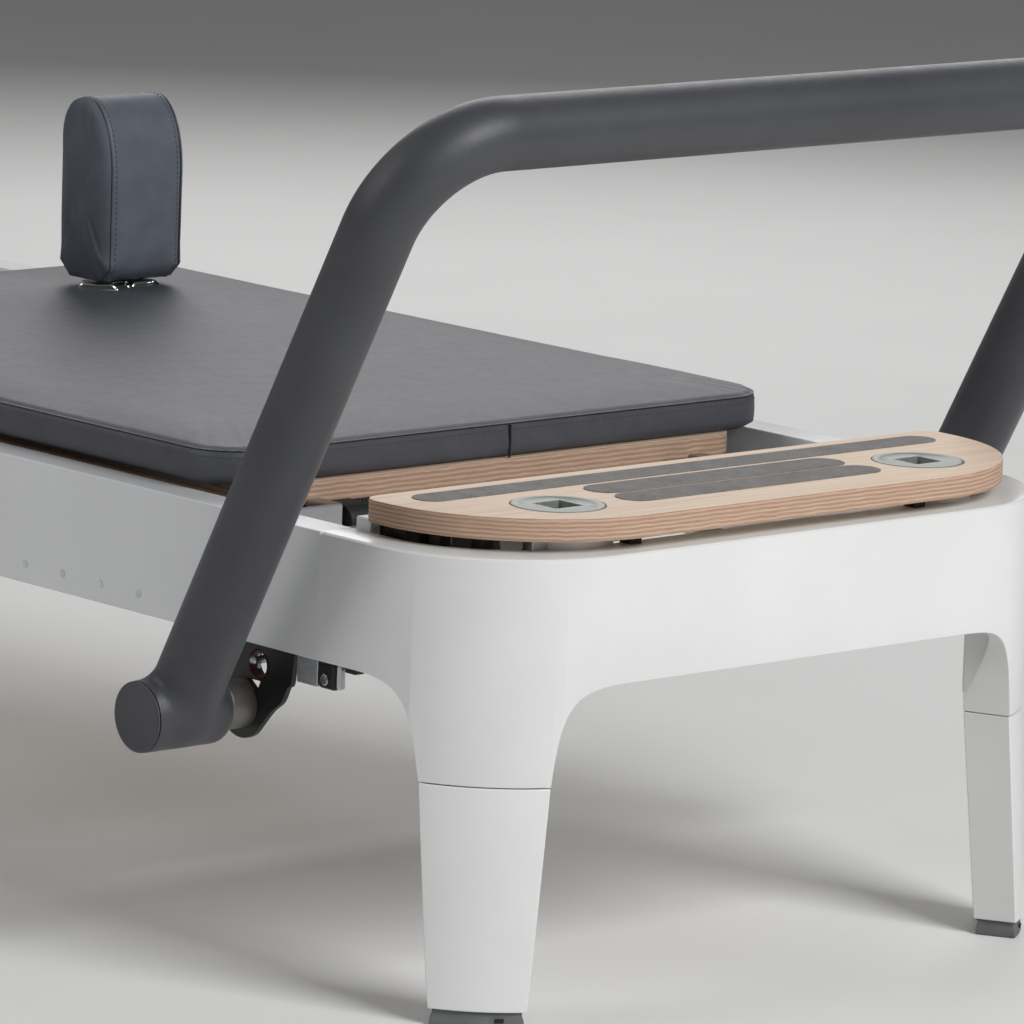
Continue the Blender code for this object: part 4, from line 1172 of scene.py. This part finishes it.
def swell(obj, pinned, pressure, cap, frames=20):
    """Fills a sewn shell by cloth simulation; pinned points stay, and no point moves past cap."""
    scene = bpy.context.scene
    group = obj.vertex_groups.new(name="sewn")
    group.add([int(i) for i in pinned], 1.0, "REPLACE")
    cloth = obj.modifiers.new("Cloth", "CLOTH")
    settings = cloth.settings
    settings.vertex_group_mass = "sewn"
    settings.quality = 6
    settings.mass = 0.3
    settings.tension_stiffness = 15
    settings.compression_stiffness = 15
    settings.shear_stiffness = 10
    settings.bending_stiffness = 0.5
    settings.use_pressure = True
    settings.uniform_pressure_force = pressure
    settings.effector_weights.gravity = 0
    cloth.point_cache.frame_start = 1
    cloth.point_cache.frame_end = frames
    for number in range(1, frames + 1):
        scene.frame_set(number)
    shaped = obj.evaluated_get(bpy.context.evaluated_depsgraph_get())
    count = len(obj.data.vertices) * 3
    rest = np.empty(count)
    moved = np.empty(count)
    obj.data.vertices.foreach_get("co", rest)
    shaped.data.vertices.foreach_get("co", moved)
    rest = rest.reshape(-1, 3)
    shift = moved.reshape(-1, 3) - rest
    length = np.maximum(np.linalg.norm(shift, axis=1), 1e-9)
    shift *= (cap * np.tanh(length / cap) / length)[:, None]
    obj.modifiers.remove(cloth)
    obj.vertex_groups.clear()
    scene.frame_set(1)
    obj.data.vertices.foreach_set("co", (rest + shift).astype(np.float32).ravel())
    obj.data.update()


def ring_points(obj, index, count):
    """World points of one ring of a pad that was lofted from rings of count points."""
    return [obj.data.vertices[index * count + i].co.copy() for i in range(count)]


def resample(points, pitch):
    """Points a fixed distance apart along a closed line, and the line's direction there."""
    closed = points + [points[0]]
    lengths = np.cumsum([0] + [(b - a).length for a, b in zip(closed, closed[1:])])
    count = max(3, int(lengths[-1] / pitch))
    coords = np.array(closed)
    found = []
    for i in range(count):
        place_on = lengths[-1] * i / count
        ahead = min(place_on + pitch * 0.4, lengths[-1])
        here = Vector([np.interp(place_on, lengths, coords[:, k]) for k in range(3)])
        there = Vector([np.interp(ahead, lengths, coords[:, k]) for k in range(3)])
        found.append((here, (there - here).normalized()))
    return found


def stitch_mesh(line, pitch, length, radius, bm):
    """A row of short thread capsules along a closed line."""
    for here, direction in resample(line, pitch):
        start = here - direction * length / 2
        points = [start + direction * length * t for t in (0, 0.2, 0.8, 1)]
        normal = direction.orthogonal().normalized()
        across = direction.cross(normal)
        rings = []
        for point, share in zip(points, (0.4, 1, 1, 0.4)):
            ring = circle((0, 0), radius * share, 6)
            rings.append([point + normal * a + across * b for a, b in ring])
        loft(rings, bm)


def make_carriage_pad(looks):
    low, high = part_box("carriage_pad")
    seam = low.z + (high.z - low.z) * 0.812
    outline = refine(rounded_rectangle(low + PAD_MARGIN, high - PAD_MARGIN, 0.048, 0.048, 14), 0.018)
    levels = cushion_levels(low.z, high.z - TOP_CLEARANCE, seam, 0.0012, 0.0075)
    make_boxed_cushion("carriage", outline, levels, seam, looks)
    make_band_seam(low, high, seam, looks)


def refine(outline, longest):
    """Adds points to an outline's long edges."""
    result = []
    for here, there in zip(outline, outline[1:] + outline[:1]):
        count = max(1, math.ceil(math.dist(here, there) / longest))
        for i in range(count):
            t = i / count
            result.append((here[0] + (there[0] - here[0]) * t, here[1] + (there[1] - here[1]) * t))
    return [p for p, q in zip(result, result[1:] + result[:1]) if math.dist(p, q) > 1e-6]


def make_boxed_cushion(body, outline, levels, seam, looks, shape=None):
    """A firm boxed cushion: filled by cloth simulation between its seam and its base, then sewn."""
    rings = cushion_rings(outline, levels)
    if shape:
        rings = [[shape(p) for p in ring] for ring in rings]
    count = len(outline)
    base = levels[0][0]
    name = f"{body}_cushion"
    cushion = piece(name, loft(rings), None, looks["vinyl"], angle=60)
    at_base = [k for k, (z, _, _) in enumerate(levels) if z <= base + 1e-6]
    at_seam = [k for k, (z, _, _) in enumerate(levels) if abs(z - seam) < ON_SEAM]
    pinned = [k * count + i for k in at_base + at_seam for i in range(count)]
    swell(cushion, pinned, 4.0, 0.0035)
    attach(cushion, body)
    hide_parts(f"{body}_pad")
    groove = next(k for k, (z, _, _) in enumerate(levels) if abs(z - seam) < 1e-6)
    welt = tube(ring_points(cushion, groove, count), WELT_RADIUS, 8, closed=True)
    piece(f"{name}_welt", welt, body, looks["piping"], angle=60)
    stitches = bmesh.new()
    stitch_mesh(ring_points(cushion, groove - 2, count), 0.0062, 0.0042, 0.0005, stitches)
    piece(f"{name}_stitches", stitches, body, looks["thread"], angle=60)


def make_band_seam(low, high, seam, looks):
    """The upright seam that closes the carriage pad's side band at the foot end."""
    x = high.x + 0.0006
    path = [(x, 0.0, low.z + 0.0005), (x + 0.0004, 0.0, (low.z + seam) / 2), (x, 0.0, seam)]
    piece("carriage_band_seam", tube(path, 0.0010, 8), "carriage", looks["piping"], angle=60)


def make_shoulder_rests(looks):
    for side, name in SIDES:
        make_shoulder_pad(name, looks)
        make_shoulder_post(side, name, looks)


def shoulder_outline(low, high):
    """The pad's outline as (x, z): a round arch to the foot end, a squarer one to the head end."""
    x = (low.x + high.x) / 2
    half = (high.x - low.x) / 2 - SHOULDER_MARGIN
    base = low.z + SHOULDER_MARGIN
    chamfer = low.z + SHOULDER_CHAMFER
    foot = half - SHOULDER_CHAMFER
    top = high.z - SHOULDER_MARGIN
    front, back = SHOULDER_ARCHES
    outline = [(x + half, chamfer)]
    outline += [(x + half * a, top - front * (1 - b)) for a, b in arc((0, 0), 1, 0, 90, 20)]
    for a, b in arc((0, 0), 1, 90, 180, 22)[1:]:
        across = half * abs(a) ** SHOULDER_SQUARING
        outline.append((x - across, top - back * (1 - abs(b) ** SHOULDER_SQUARING)))
    outline += [(x - half, chamfer), (x - foot, base), (x + foot, base)]
    return refine(outline, 0.005)


def make_shoulder_pad(name, looks):
    """A block of foam in a cover of two crowned faces and a band, sewn with piping."""
    node = f"shoulder_pad_{name}"
    low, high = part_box(node)
    outline = shoulder_outline(low, high)
    depth = high.y - low.y
    seams = (low.y + depth * 0.075, high.y - depth * 0.075)
    levels = shoulder_levels(low.y, high.y, seams)
    rings = [[(a, h, b) for a, b, h in ring] for ring in cushion_rings(outline, levels)]
    body = f"shoulder_rest_{name}"
    pad = piece(f"shoulder_cushion_{name}", loft(rings), None, looks["dark_vinyl"], angle=60)
    count = len(outline)
    pinned = [
        k * count + i
        for k, (h, _, scale) in enumerate(levels)
        for i in range(count)
        if scale == 1.0 and min(abs(h - s) for s in seams) < ON_SEAM
    ]
    swell(pad, pinned, 4.0, 0.0045)
    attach(pad, body)
    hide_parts(node)
    welts = bmesh.new()
    stitches = bmesh.new()
    for seam, toward in zip(seams, (1, -1)):
        groove = next(k for k, (h, _, _) in enumerate(levels) if abs(h - seam) < 1e-6)
        tube(ring_points(pad, groove, count), WELT_RADIUS, 8, welts, closed=True)
        line = ring_points(pad, groove + toward * 3, count)
        stitch_mesh(line, 0.0048, 0.0032, 0.00055, stitches)
    piece(f"shoulder_welts_{name}", welts, body, looks["piping"], angle=60)
    piece(f"shoulder_stitches_{name}", stitches, body, looks["thread"], angle=60)


def shoulder_levels(low, high, seams):
    """Levels across a shoulder rest: a crowned face, a groove, a flat band, a groove, a crowned face."""
    roll = [(0.0002, -0.0050, 0.86 * i / 9) for i in range(1, 9)]
    roll += [(0.0004, -0.0050, 0.86), (0.0010, -0.0040, 0.91), (0.0022, -0.0024, 0.955)]
    roll += [(0.0038, -0.0012, 0.985)]
    groove = ((-0.0012, -0.0002), (0, -0.0016), (0.0012, 0.0))
    band = ((0.0028, 0.0004), (0.0046, 0.0004), (0.0080, 0.0004), (0.0160, 0.0004), (0.0260, 0.0004))
    first, second = seams
    levels = [(low + rise, outset, scale) for rise, outset, scale in roll]
    levels += [(first + s, outset, 1.0) for s, outset in (*groove, *band)]
    levels += [(second - s, outset, 1.0) for s, outset in reversed((*groove, *band))]
    return levels + [(high - rise, outset, scale) for rise, outset, scale in reversed(roll)]


def make_shoulder_post(side, name, looks):
    """Chrome catch on the pad, in two bent bars and a release lever, on a stem into the carriage."""
    node = f"shoulder_post_{name}"
    low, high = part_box(node)
    x, y, _ = middle(node)
    body = f"shoulder_rest_{name}"
    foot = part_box("carriage_pad")[1].z + 0.0006
    base = foot + 0.0038

    def bar(places, radius, bm):
        points = [(x + a, y + side * b, foot + rise) for a, b, rise in places]
        tube(smooth_path(points), radius, 14, bm)

    bm = bmesh.new()
    for places in CATCH_BARS:
        bar(places, 0.0027, bm)
    stem = rounded_rectangle((x - 0.015, y - 0.006), (x + 0.015, y + 0.006), 0.002, 0.002, 4)
    prism(stem, low.z, high.z, bm=bm)
    for x0, x1, y0, y1 in CATCH_PLATES:
        block((x + x0, y + y0, base - 0.0006), (x + x1, y + y1, base + 0.0012), bm)
    piece(f"shoulder_catch_{name}", bm, body, looks["chrome"], (node,), bevel=0.0003, angle=40)
    lever = bmesh.new()
    bar(LEVER, 0.0014, lever)
    profile = [(foot + 0.0019 + a, b) for a, b in arc((0, 0), 0.0024, 178, 2, 10)]
    lathe(profile, (x + 0.0347, y - side * 0.0310), "Z", 20, lever)
    pin = ((foot, 0.0022), (base - 0.001, 0.0022), (base, 0.0016))
    lathe(pin, (x + 0.0255, y - side * 0.0108), "Z", 20, lever)
    piece(f"shoulder_lever_{name}", lever, body, looks["chrome"], angle=40)


def smooth_path(points, steps=6):
    """A Catmull-Rom curve through the points."""
    ends = [Vector(points[0])] + [Vector(p) for p in points] + [Vector(points[-1])]
    found = []
    for a, b, c, d in zip(ends, ends[1:], ends[2:], ends[3:]):
        for i in range(steps):
            t = i / steps
            curve = (2 * a - 5 * b + 4 * c - d) * t**2 + (3 * b - a - 3 * c + d) * t**3
            found.append(0.5 * (2 * b + (c - a) * t + curve))
    return found + [ends[-1]]


def make_headrest(looks):
    low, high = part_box("headrest_pad")
    seam = low.z + (high.z - low.z) * 0.78
    radii = (0.040, 0.010)
    outline = refine(rounded_rectangle(low + PAD_MARGIN, high - PAD_MARGIN, *radii, 10), 0.012)
    levels = cushion_levels(low.z, high.z - TOP_CLEARANCE, seam, 0.0008, 0.0060)
    lean = math.tan(math.radians(34))
    centre_x = (low.x + high.x) / 2

    def shape(point):
        share = max(0.0, (point[0] - centre_x) / (high.x - centre_x))
        return (point[0] - (point[2] - low.z) * lean * share, point[1], point[2])

    make_boxed_cushion("headrest", outline, levels, seam, looks, shape)
    board_low, board_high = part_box("headrest_board")
    outline = rounded_rectangle(board_low, board_high, *radii, 16)
    board = prism(outline, board_low.z, board_high.z)
    piece(
        "headrest_plywood", board, "headrest", looks["board"], ("headrest_board",),
        bevel=0.0012,
    )
    make_headrest_hinges(looks)


def make_headrest_hinges(looks):
    """Two ratchet hinges under the headrest: a knuckle, a leaf on each board and their screws."""
    x = joint_place("headrest_tilt").x
    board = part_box("carriage_board")[0].z
    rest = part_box("headrest_board")[0].z

    def leaf(bottom, ends, half, y, screws, bm):
        block((x + ends[0], y - half, bottom - 0.0028), (x + ends[1], y + half, bottom - FIT_GAP), bm)
        for dx in screws:
            bolt((x + dx, y, bottom - 0.0028), "Z", -1, 0.0032, 0.0022, bm)

    for side, name in SIDES:
        y = side * 0.085
        fixed = lathe(((y - 0.016, 0.0052), (y + 0.016, 0.0052)), (x, board - 0.006), "Y", 32)
        leaf(board, (0, 0.045), 0.016, y, (0.016, 0.034), fixed)
        piece(f"headrest_hinge_{name}", fixed, "carriage", looks["plate"], bevel=0.0005)
        moving = bmesh.new()
        leaf(rest, (-0.050, -0.008), 0.012, y, (-0.020, -0.040), moving)
        piece(f"headrest_leaf_{name}", moving, "headrest", looks["plate"], bevel=0.0005)


# ---------------------------------------------------------------- carriage


def make_carriage(looks):
    low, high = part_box("carriage_board")
    outline = rounded_rectangle(low, high, 0.026, 0.026, 14)
    holes = []
    for _, name in SIDES:
        x, y, _ = middle(f"shoulder_post_{name}")
        holes.append(block((x - 0.016, y - 0.007, low.z - 0.01), (x + 0.016, y + 0.007, high.z + 0.01)))
    board = cut(prism(outline, low.z, high.z), holes)
    piece(
        "carriage_plywood", board, "carriage", looks["board"], ("carriage_board",),
        bevel=0.0014, angle=50,
    )
    for side, name in SIDES:
        make_carrier(side, name, looks)
        make_buffer(side, name, looks)
    for end in ("front", "back"):
        for side, name in SIDES:
            make_wheel(side, f"{end}_{name}", looks)


def make_carrier(side, name, looks):
    """Side angle: a flange under the board, a web that drops to the axles, and its fixings."""
    node = f"wheel_carrier_{name}"
    low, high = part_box(node)
    outer = y_ends(node, side)[1]
    y0, y1 = sorted((side * 0.2455, outer))
    bm = block((low.x, y0, high.z - 0.0045), (high.x, y1, high.z))
    y0, y1 = sorted((outer - side * 0.0032, outer))
    block((low.x + 0.002, y0, low.z), (from_foot(0.410), y1, high.z - 0.0025), bm)
    piece(node + "_angle", bm, "carriage", looks["alloy"], (node,), bevel=0.0008)
    fixings = bmesh.new()
    for i in range(6):
        x = from_foot(0.46 + i * 0.14)
        bolt((x, outer, low.z + 0.034), "Y", side, 0.0030, 0.0018, fixings, washer=False)
    piece(node + "_bolts", fixings, "carriage", looks["plate"], bevel=0.0003)


def make_buffer(side, name, looks):
    """Rubber buffer under the board's front edge, with the metal block that holds it. Its black block also
    stands in for the shade in the space under the board: partly painted shade.
    """
    node = f"carriage_buffer_{name}"
    low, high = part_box(node)
    board_low, board_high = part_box("carriage_board")
    radius = 0.012
    step = board_high.x + FIT_GAP
    under = board_low.z - FIT_GAP
    outline = [(low.x, low.z), (high.x, low.z)]
    outline += arc((high.x - radius, high.z - radius), radius, 0, 90, 12)
    outline += [(step, high.z), (step, under), (low.x, under)]
    bm = prism(outline, low.y, high.y, "Y")
    # Painted shade in part: the black rubber block also fills the shaded space under the board's front
    # edge.
    piece(node + "_rubber", bm, "carriage", looks["buffer"], (node,), bevel=0.0012, segments=4)
    y0, y1 = sorted((side * 0.2070, side * 0.2220))
    holder = block((step, y0, 0.352), (from_foot(0.335), y1, 0.368))
    piece(node + "_holder", holder, "carriage", looks["plate"], bevel=0.0010)


def make_wheel(side, tag, looks):
    """Track wheel: a crowned polyurethane tyre on a hub with a ball bearing, and its axle bolt."""
    node = f"wheel_{tag}"
    low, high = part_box(node)
    centre = middle(node)
    radius = (high.z - low.z) / 2

    def ring(profile, sides):
        """A turned part from (whether from the left face, distance in from that face, radius)."""
        places = [(low.y + y if near else high.y - y, r) for near, y, r in profile]
        return ring_solid(places, (centre.x, centre.z), "Y", sides)

    crown = ((0, radius - 0.0065), (0, radius - 0.0022), (0.0012, radius - 0.0008), (0.004, radius))
    tyre = ring([(True, *p) for p in crown] + [(False, *p) for p in reversed(crown)], 64)
    piece(f"wheel_tyre_{tag}", tyre, node, looks["buffer"], (node,), angle=40)
    web = ((0.001, 0.0110), (0.001, radius - 0.0066))
    hub = ring([(True, *p) for p in web] + [(False, *p) for p in reversed(web)], 48)
    piece(f"wheel_hub_{tag}", hub, node, looks["alloy"], bevel=0.0008)
    shield = (
        (0.0016, 0.0050), (0.0016, 0.0072), (0.0026, 0.0076), (0.0026, 0.0094), (0.0016, 0.0098),
        (0.0016, 0.0109),
    )
    back = ((False, 0.0016, 0.0109), (False, 0.0016, 0.0050))
    race = ring([(True, *p) for p in shield] + [*back], 48)
    piece(f"wheel_bearing_{tag}", race, node, looks["steel"], angle=30)
    inner, outer = y_ends(node, side)
    ends = ((inner - side * 0.003, 0.0048), (outer + side * 0.006, 0.0048))
    axle = lathe(ends, (centre.x, centre.z), "Y", 32)
    bolt((centre.x, inner - side * 0.0005, centre.z), "Y", -side, 0.0062, 0.0045, axle)
    piece(f"wheel_axle_{tag}", axle, "carriage", looks["plate"], bevel=0.0003)


# ---------------------------------------------------------------- springs

SPRINGS = (1, 2, 3, 4)
EAR_INNER = 0.222
DIP = 0.350
WIRE_RADIUS = 0.0016
SPRING_NECK = 0.024
COIL_PITCH = 0.0052
POINTS_PER_TURN = 14


def make_springs(looks):
    bars = (
        ("spring_bar", "spring_hook_bar", "frame"),
        ("spring_anchor_bar", "spring_anchor", "carriage"),
    )
    for node, name, body in bars:
        low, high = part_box(node)
        bar = block(low, high)
        if body == "frame":
            dip = [(EAR_INNER, high.z), (EAR_INNER, DIP), (-EAR_INNER, DIP), (-EAR_INNER, high.z)]
            outline = [(low.y, high.z), (low.y, low.z), (high.y, low.z), (high.y, high.z), *dip]
            bar = prism(outline, low.x, high.x, "X")
        holes = []
        for number in SPRINGS:
            centre = middle(f"spring_{number}")
            hole = circle((centre.y, centre.z), 0.0046, 24)
            holes.append(prism(hole, low.x - 0.01, high.x + 0.01, "X"))
        bm = cut(bar, holes)
        piece(name, bm, body, looks["alloy"], (node,), bevel=0.001, angle=50)
    for number in SPRINGS:
        make_spring(number, looks)


def make_spring(number, looks):
    """A close-wound extension spring, with necked ends and a hook through each bar."""
    node = f"spring_{number}"
    low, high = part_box(node)
    _, y, z = middle(node)
    coil = (high.y - low.y) / 2 - WIRE_RADIUS
    start, end = low.x + SPRING_NECK, high.x - SPRING_NECK
    turns = int((end - start) / COIL_PITCH)
    total = turns * POINTS_PER_TURN
    path = []
    for i in range(total + 1):
        t = i / total
        radius = coil * min(1.0, 0.45 + 0.55 * min(t, 1 - t) * turns / 4)
        angle = 2 * math.pi * i / POINTS_PER_TURN
        path.append((start + (end - start) * t, y + radius * math.cos(angle), z + radius * math.sin(angle)))
    leads = ((-0.002, 0.0), (0.010, 0.0), (0.018, coil * 0.2))
    lead_in = [(low.x + a, y + b, z) for a, b in leads]
    lead_out = [(high.x - a, y + b, z) for a, b in reversed(leads)]
    bm = tube([*lead_in, *path, *lead_out], WIRE_RADIUS, 8)
    spring = piece(f"spring_coil_{number}", bm, None, looks["spring"], angle=60)
    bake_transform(spring)
    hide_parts(node)
    for body, x, way in (("frame", high.x, 1), ("carriage", low.x, -1)):
        bend = arc((0.009, 0), 0.006, 180, -120, 14)
        hook = [(x + way * 0.001, y, z)] + [(x + way * a, y, z + b) for a, b in bend]
        bm = tube(hook, WIRE_RADIUS, 8)
        lathe(((x - way * 0.003, 0.0044), (x + way * 0.0004, 0.0044)), (y, z), "X", 24, bm)
        piece(f"spring_hook_{body}_{number}", bm, body, looks["steel"], angle=50)


# ---------------------------------------------------------------- risers

POST_RADIUS = 0.016
FORK_HALF = 0.012


def make_risers(looks):
    for _, name in SIDES:
        node = f"riser_sleeve_{name}"
        low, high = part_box(node)
        a_b = middle(f"riser_post_{name}").xy
        z0, z1 = low.z, high.z
        sleeve = ring_solid(
            (
                (z0, 0.0165), (z0, 0.0225), (z0 + 0.002, 0.024), (z1 - 0.010, 0.024), (z1 - 0.008, 0.0252),
                (z1 - 0.0015, 0.0252), (z1, 0.0238), (z1, 0.0165),
            ),
            a_b, "Z", 64,
        )
        wall = -(HALF_LENGTH - WALL - 0.0004)
        block((wall, a_b.y - 0.014, z0 + 0.01), (a_b.x - 0.019, a_b.y + 0.014, z0 + 0.05), sleeve)
        piece(
            f"riser_clamp_{name}", sleeve, "frame", looks["black"], (node,),
            bevel=0.0012,
        )
        make_riser_knob(name, a_b, z1 - 0.030, looks)
        make_riser_post(name, a_b, looks)
        make_pulley(name, looks)


def make_riser_knob(name, a_b, z, looks):
    """Lobed clamp knob on the sleeve's side towards the carriage."""
    face = a_b.x + 0.0235
    bm = lathe(((face, 0.006), (face + 0.010, 0.006)), (a_b.y, z), "X", 24)
    rings = []
    for depth, scale in ((0.010, 0.86), (0.012, 1.0), (0.022, 1.0), (0.026, 0.82), (0.027, 0.5)):
        ring = []
        for i in range(72):
            angle = 2 * math.pi * i / 72
            radius = scale * (0.0165 + 0.0018 * math.cos(6 * angle))
            ring.append((face + depth, a_b.y + radius * math.cos(angle), z + radius * math.sin(angle)))
        rings.append(ring)
    loft(rings, bm)
    piece(f"riser_knob_{name}", bm, "frame", looks["black"], angle=50)


def make_riser_post(name, a_b, looks):
    """Polished post with index grooves and a two-cheek fork that holds the pulley's axle."""
    x, y = a_b
    node = f"riser_post_{name}"
    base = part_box(node)[0].z
    pulley_low, pulley_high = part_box(f"pulley_{name}")
    pulley_z = (pulley_low.z + pulley_high.z) / 2
    top = pulley_z - 0.040
    profile = [(base, POST_RADIUS - 0.001), (base + 0.001, POST_RADIUS)]
    for i in range(6):
        z = 0.41 + i * 0.020
        groove = ((0, 0), (0.0006, 0.0008), (0.0022, 0.0008), (0.0028, 0))
        profile += [(z + rise, POST_RADIUS - depth) for rise, depth in groove]
    profile += [(top - 0.002, POST_RADIUS), (top, POST_RADIUS - 0.002)]
    body = f"riser_{name}"
    bm = lathe(profile, a_b, "Z", 48)
    piece(f"riser_tube_{name}", bm, body, looks["steel"], (node,), angle=30)
    fork = bmesh.new()
    gap = (pulley_high.y - pulley_low.y) / 2 + 0.001
    reach = gap + 0.004
    for side in (-1, 1):
        outline = [(x - FORK_HALF, top - 0.010), (x + FORK_HALF, top - 0.010)]
        outline += arc((x, pulley_z), FORK_HALF, 0, 180, 16)
        prism(outline, *sorted((y + side * gap, y + side * reach)), "Y", fork)
        bolt((x, y + side * reach, pulley_z), "Y", side, 0.0050, 0.0035, fork)
    axle = ((y - gap - 0.001, 0.0042), (y + gap + 0.001, 0.0042))
    lathe(axle, (x, pulley_z), "Y", 24, fork)
    block((x - FORK_HALF, y - reach, top - 0.012), (x + FORK_HALF, y + reach, top - 0.004), fork)
    piece(f"riser_fork_{name}", fork, body, looks["plate"], bevel=0.0006)


def make_pulley(name, looks):
    """Grooved wheel with six rivet heads, on a bearing."""
    node = f"pulley_{name}"
    low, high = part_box(node)
    x, y, z = middle(node)
    radius = (high.z - low.z) / 2
    half = (high.y - low.y) / 2
    flank = [(-half, 0.011), (-half, radius - 0.001), (-half + 0.001, radius), (-half + 0.0026, radius)]
    groove = [(h, min(radius, radius - r)) for h, r in arc((0, 0), 0.0064, 180, 0, 14)[1:-1]]
    profile = [*flank, *groove, *((-h, r) for h, r in reversed(flank))]
    wheel = ring_solid([(y + h, r) for h, r in profile], (x, z), "Y", 72)
    for spot in circle((x, z), 0.019, 6):
        lathe(((y - half - 0.0004, 0.0035), (y + half + 0.0004, 0.0035)), spot, "Y", 16, wheel)
    piece(f"pulley_wheel_{name}", wheel, node, looks["black"], (node,), angle=35)
    y0, y1 = y - half + 0.0005, y + half - 0.0005
    bearing = ring_solid(((y0, 0.0050), (y0, 0.0108), (y1, 0.0108), (y1, 0.0050)), (x, z), "Y", 48)
    piece(f"pulley_bearing_{name}", bearing, node, looks["steel"], bevel=0.0006)


# ---------------------------------------------------------------- stage

FLOOR_REACH = 30.0


def make_stage():
    """A wide, plain, pale floor."""
    look = Look("pale_floor", (232, 232, 231), 0.8)
    look.colour(look.ramp(look.noise(1.5, 3), ((0.3, (229, 229, 228)), (0.7, (234, 234, 233)))))
    bm = bmesh.new()
    corners = ((-1, -1), (1, -1), (1, 1), (-1, 1))
    bm.faces.new([bm.verts.new((a * FLOOR_REACH, b * FLOOR_REACH, 0)) for a, b in corners])
    floor = solid_object("floor", bm)
    floor.data.materials.append(look.material)


def make_light(name, azimuth, elevation, size, power):
    """A square softbox on a ring round the machine, turned to its foot end; angles in degrees."""
    a, e = math.radians(azimuth), math.radians(elevation)
    target = Vector(LIGHT_TARGET)
    direction = Vector((math.cos(e) * math.cos(a), math.cos(e) * math.sin(a), math.sin(e)))
    data = bpy.data.lights.new(name, "AREA")
    data.size = size
    data.energy = power
    light = add_object(name, data)
    light.location = target + direction * LIGHT_DISTANCE
    light.rotation_euler = direction.to_track_quat("Z", "Y").to_euler()


def make_lights():
    world = bpy.data.worlds.new("studio")
    bpy.context.scene.world = world
    world.use_nodes = True
    background = world.node_tree.nodes["Background"]
    background.inputs["Color"].default_value = (1.0, 1.0, 1.0, 1.0)
    background.inputs["Strength"].default_value = 0.11
    make_light("key", 4, 35, 2.2, 200)
    make_light("side", -110, 30, 2.2, 46)
    make_light("rear", -150, 35, 2.2, 20)
    make_light("far_side", 138, 30, 3.0, 70)


def make_camera():
    data = bpy.data.cameras.new("camera")
    data.sensor_width = SENSOR_WIDTH
    data.lens = CAMERA_LENS
    data.clip_end = 60
    camera = add_object("camera", data)
    a, e, r = CAMERA_AZIMUTH, CAMERA_ELEVATION, CAMERA_ROLL
    back = Vector((math.sin(a) * math.cos(e), -math.cos(a) * math.cos(e), math.sin(e)))
    right = Vector((math.cos(a), math.sin(a), 0))
    up = back.cross(right)
    x_axis = right * math.cos(r) + up * math.sin(r)
    y_axis = up * math.cos(r) - right * math.sin(r)
    matrix = Matrix((x_axis, y_axis, back)).transposed().to_4x4()
    camera.matrix_world = Matrix.Translation(CAMERA_PLACE) @ matrix
    bpy.context.scene.camera = camera


def main():
    bpy.context.scene.view_settings.view_transform = "Standard"
    make_camera()
    make_stage()
    make_lights()
    looks = make_looks()
    make_end_castings(looks)
    make_legs(looks)
    make_rails(looks)
    make_platform(looks)
    make_footbar(looks)
    make_brackets(looks)
    make_carriage(looks)
    make_carriage_pad(looks)
    make_shoulder_rests(looks)
    make_headrest(looks)
    make_springs(looks)
    make_risers(looks)
    tube_node = frame["nodes"]["footbar_tube"]
    tube_node.data.materials.clear()
    tube_node.data.materials.append(looks["steel"])


main()
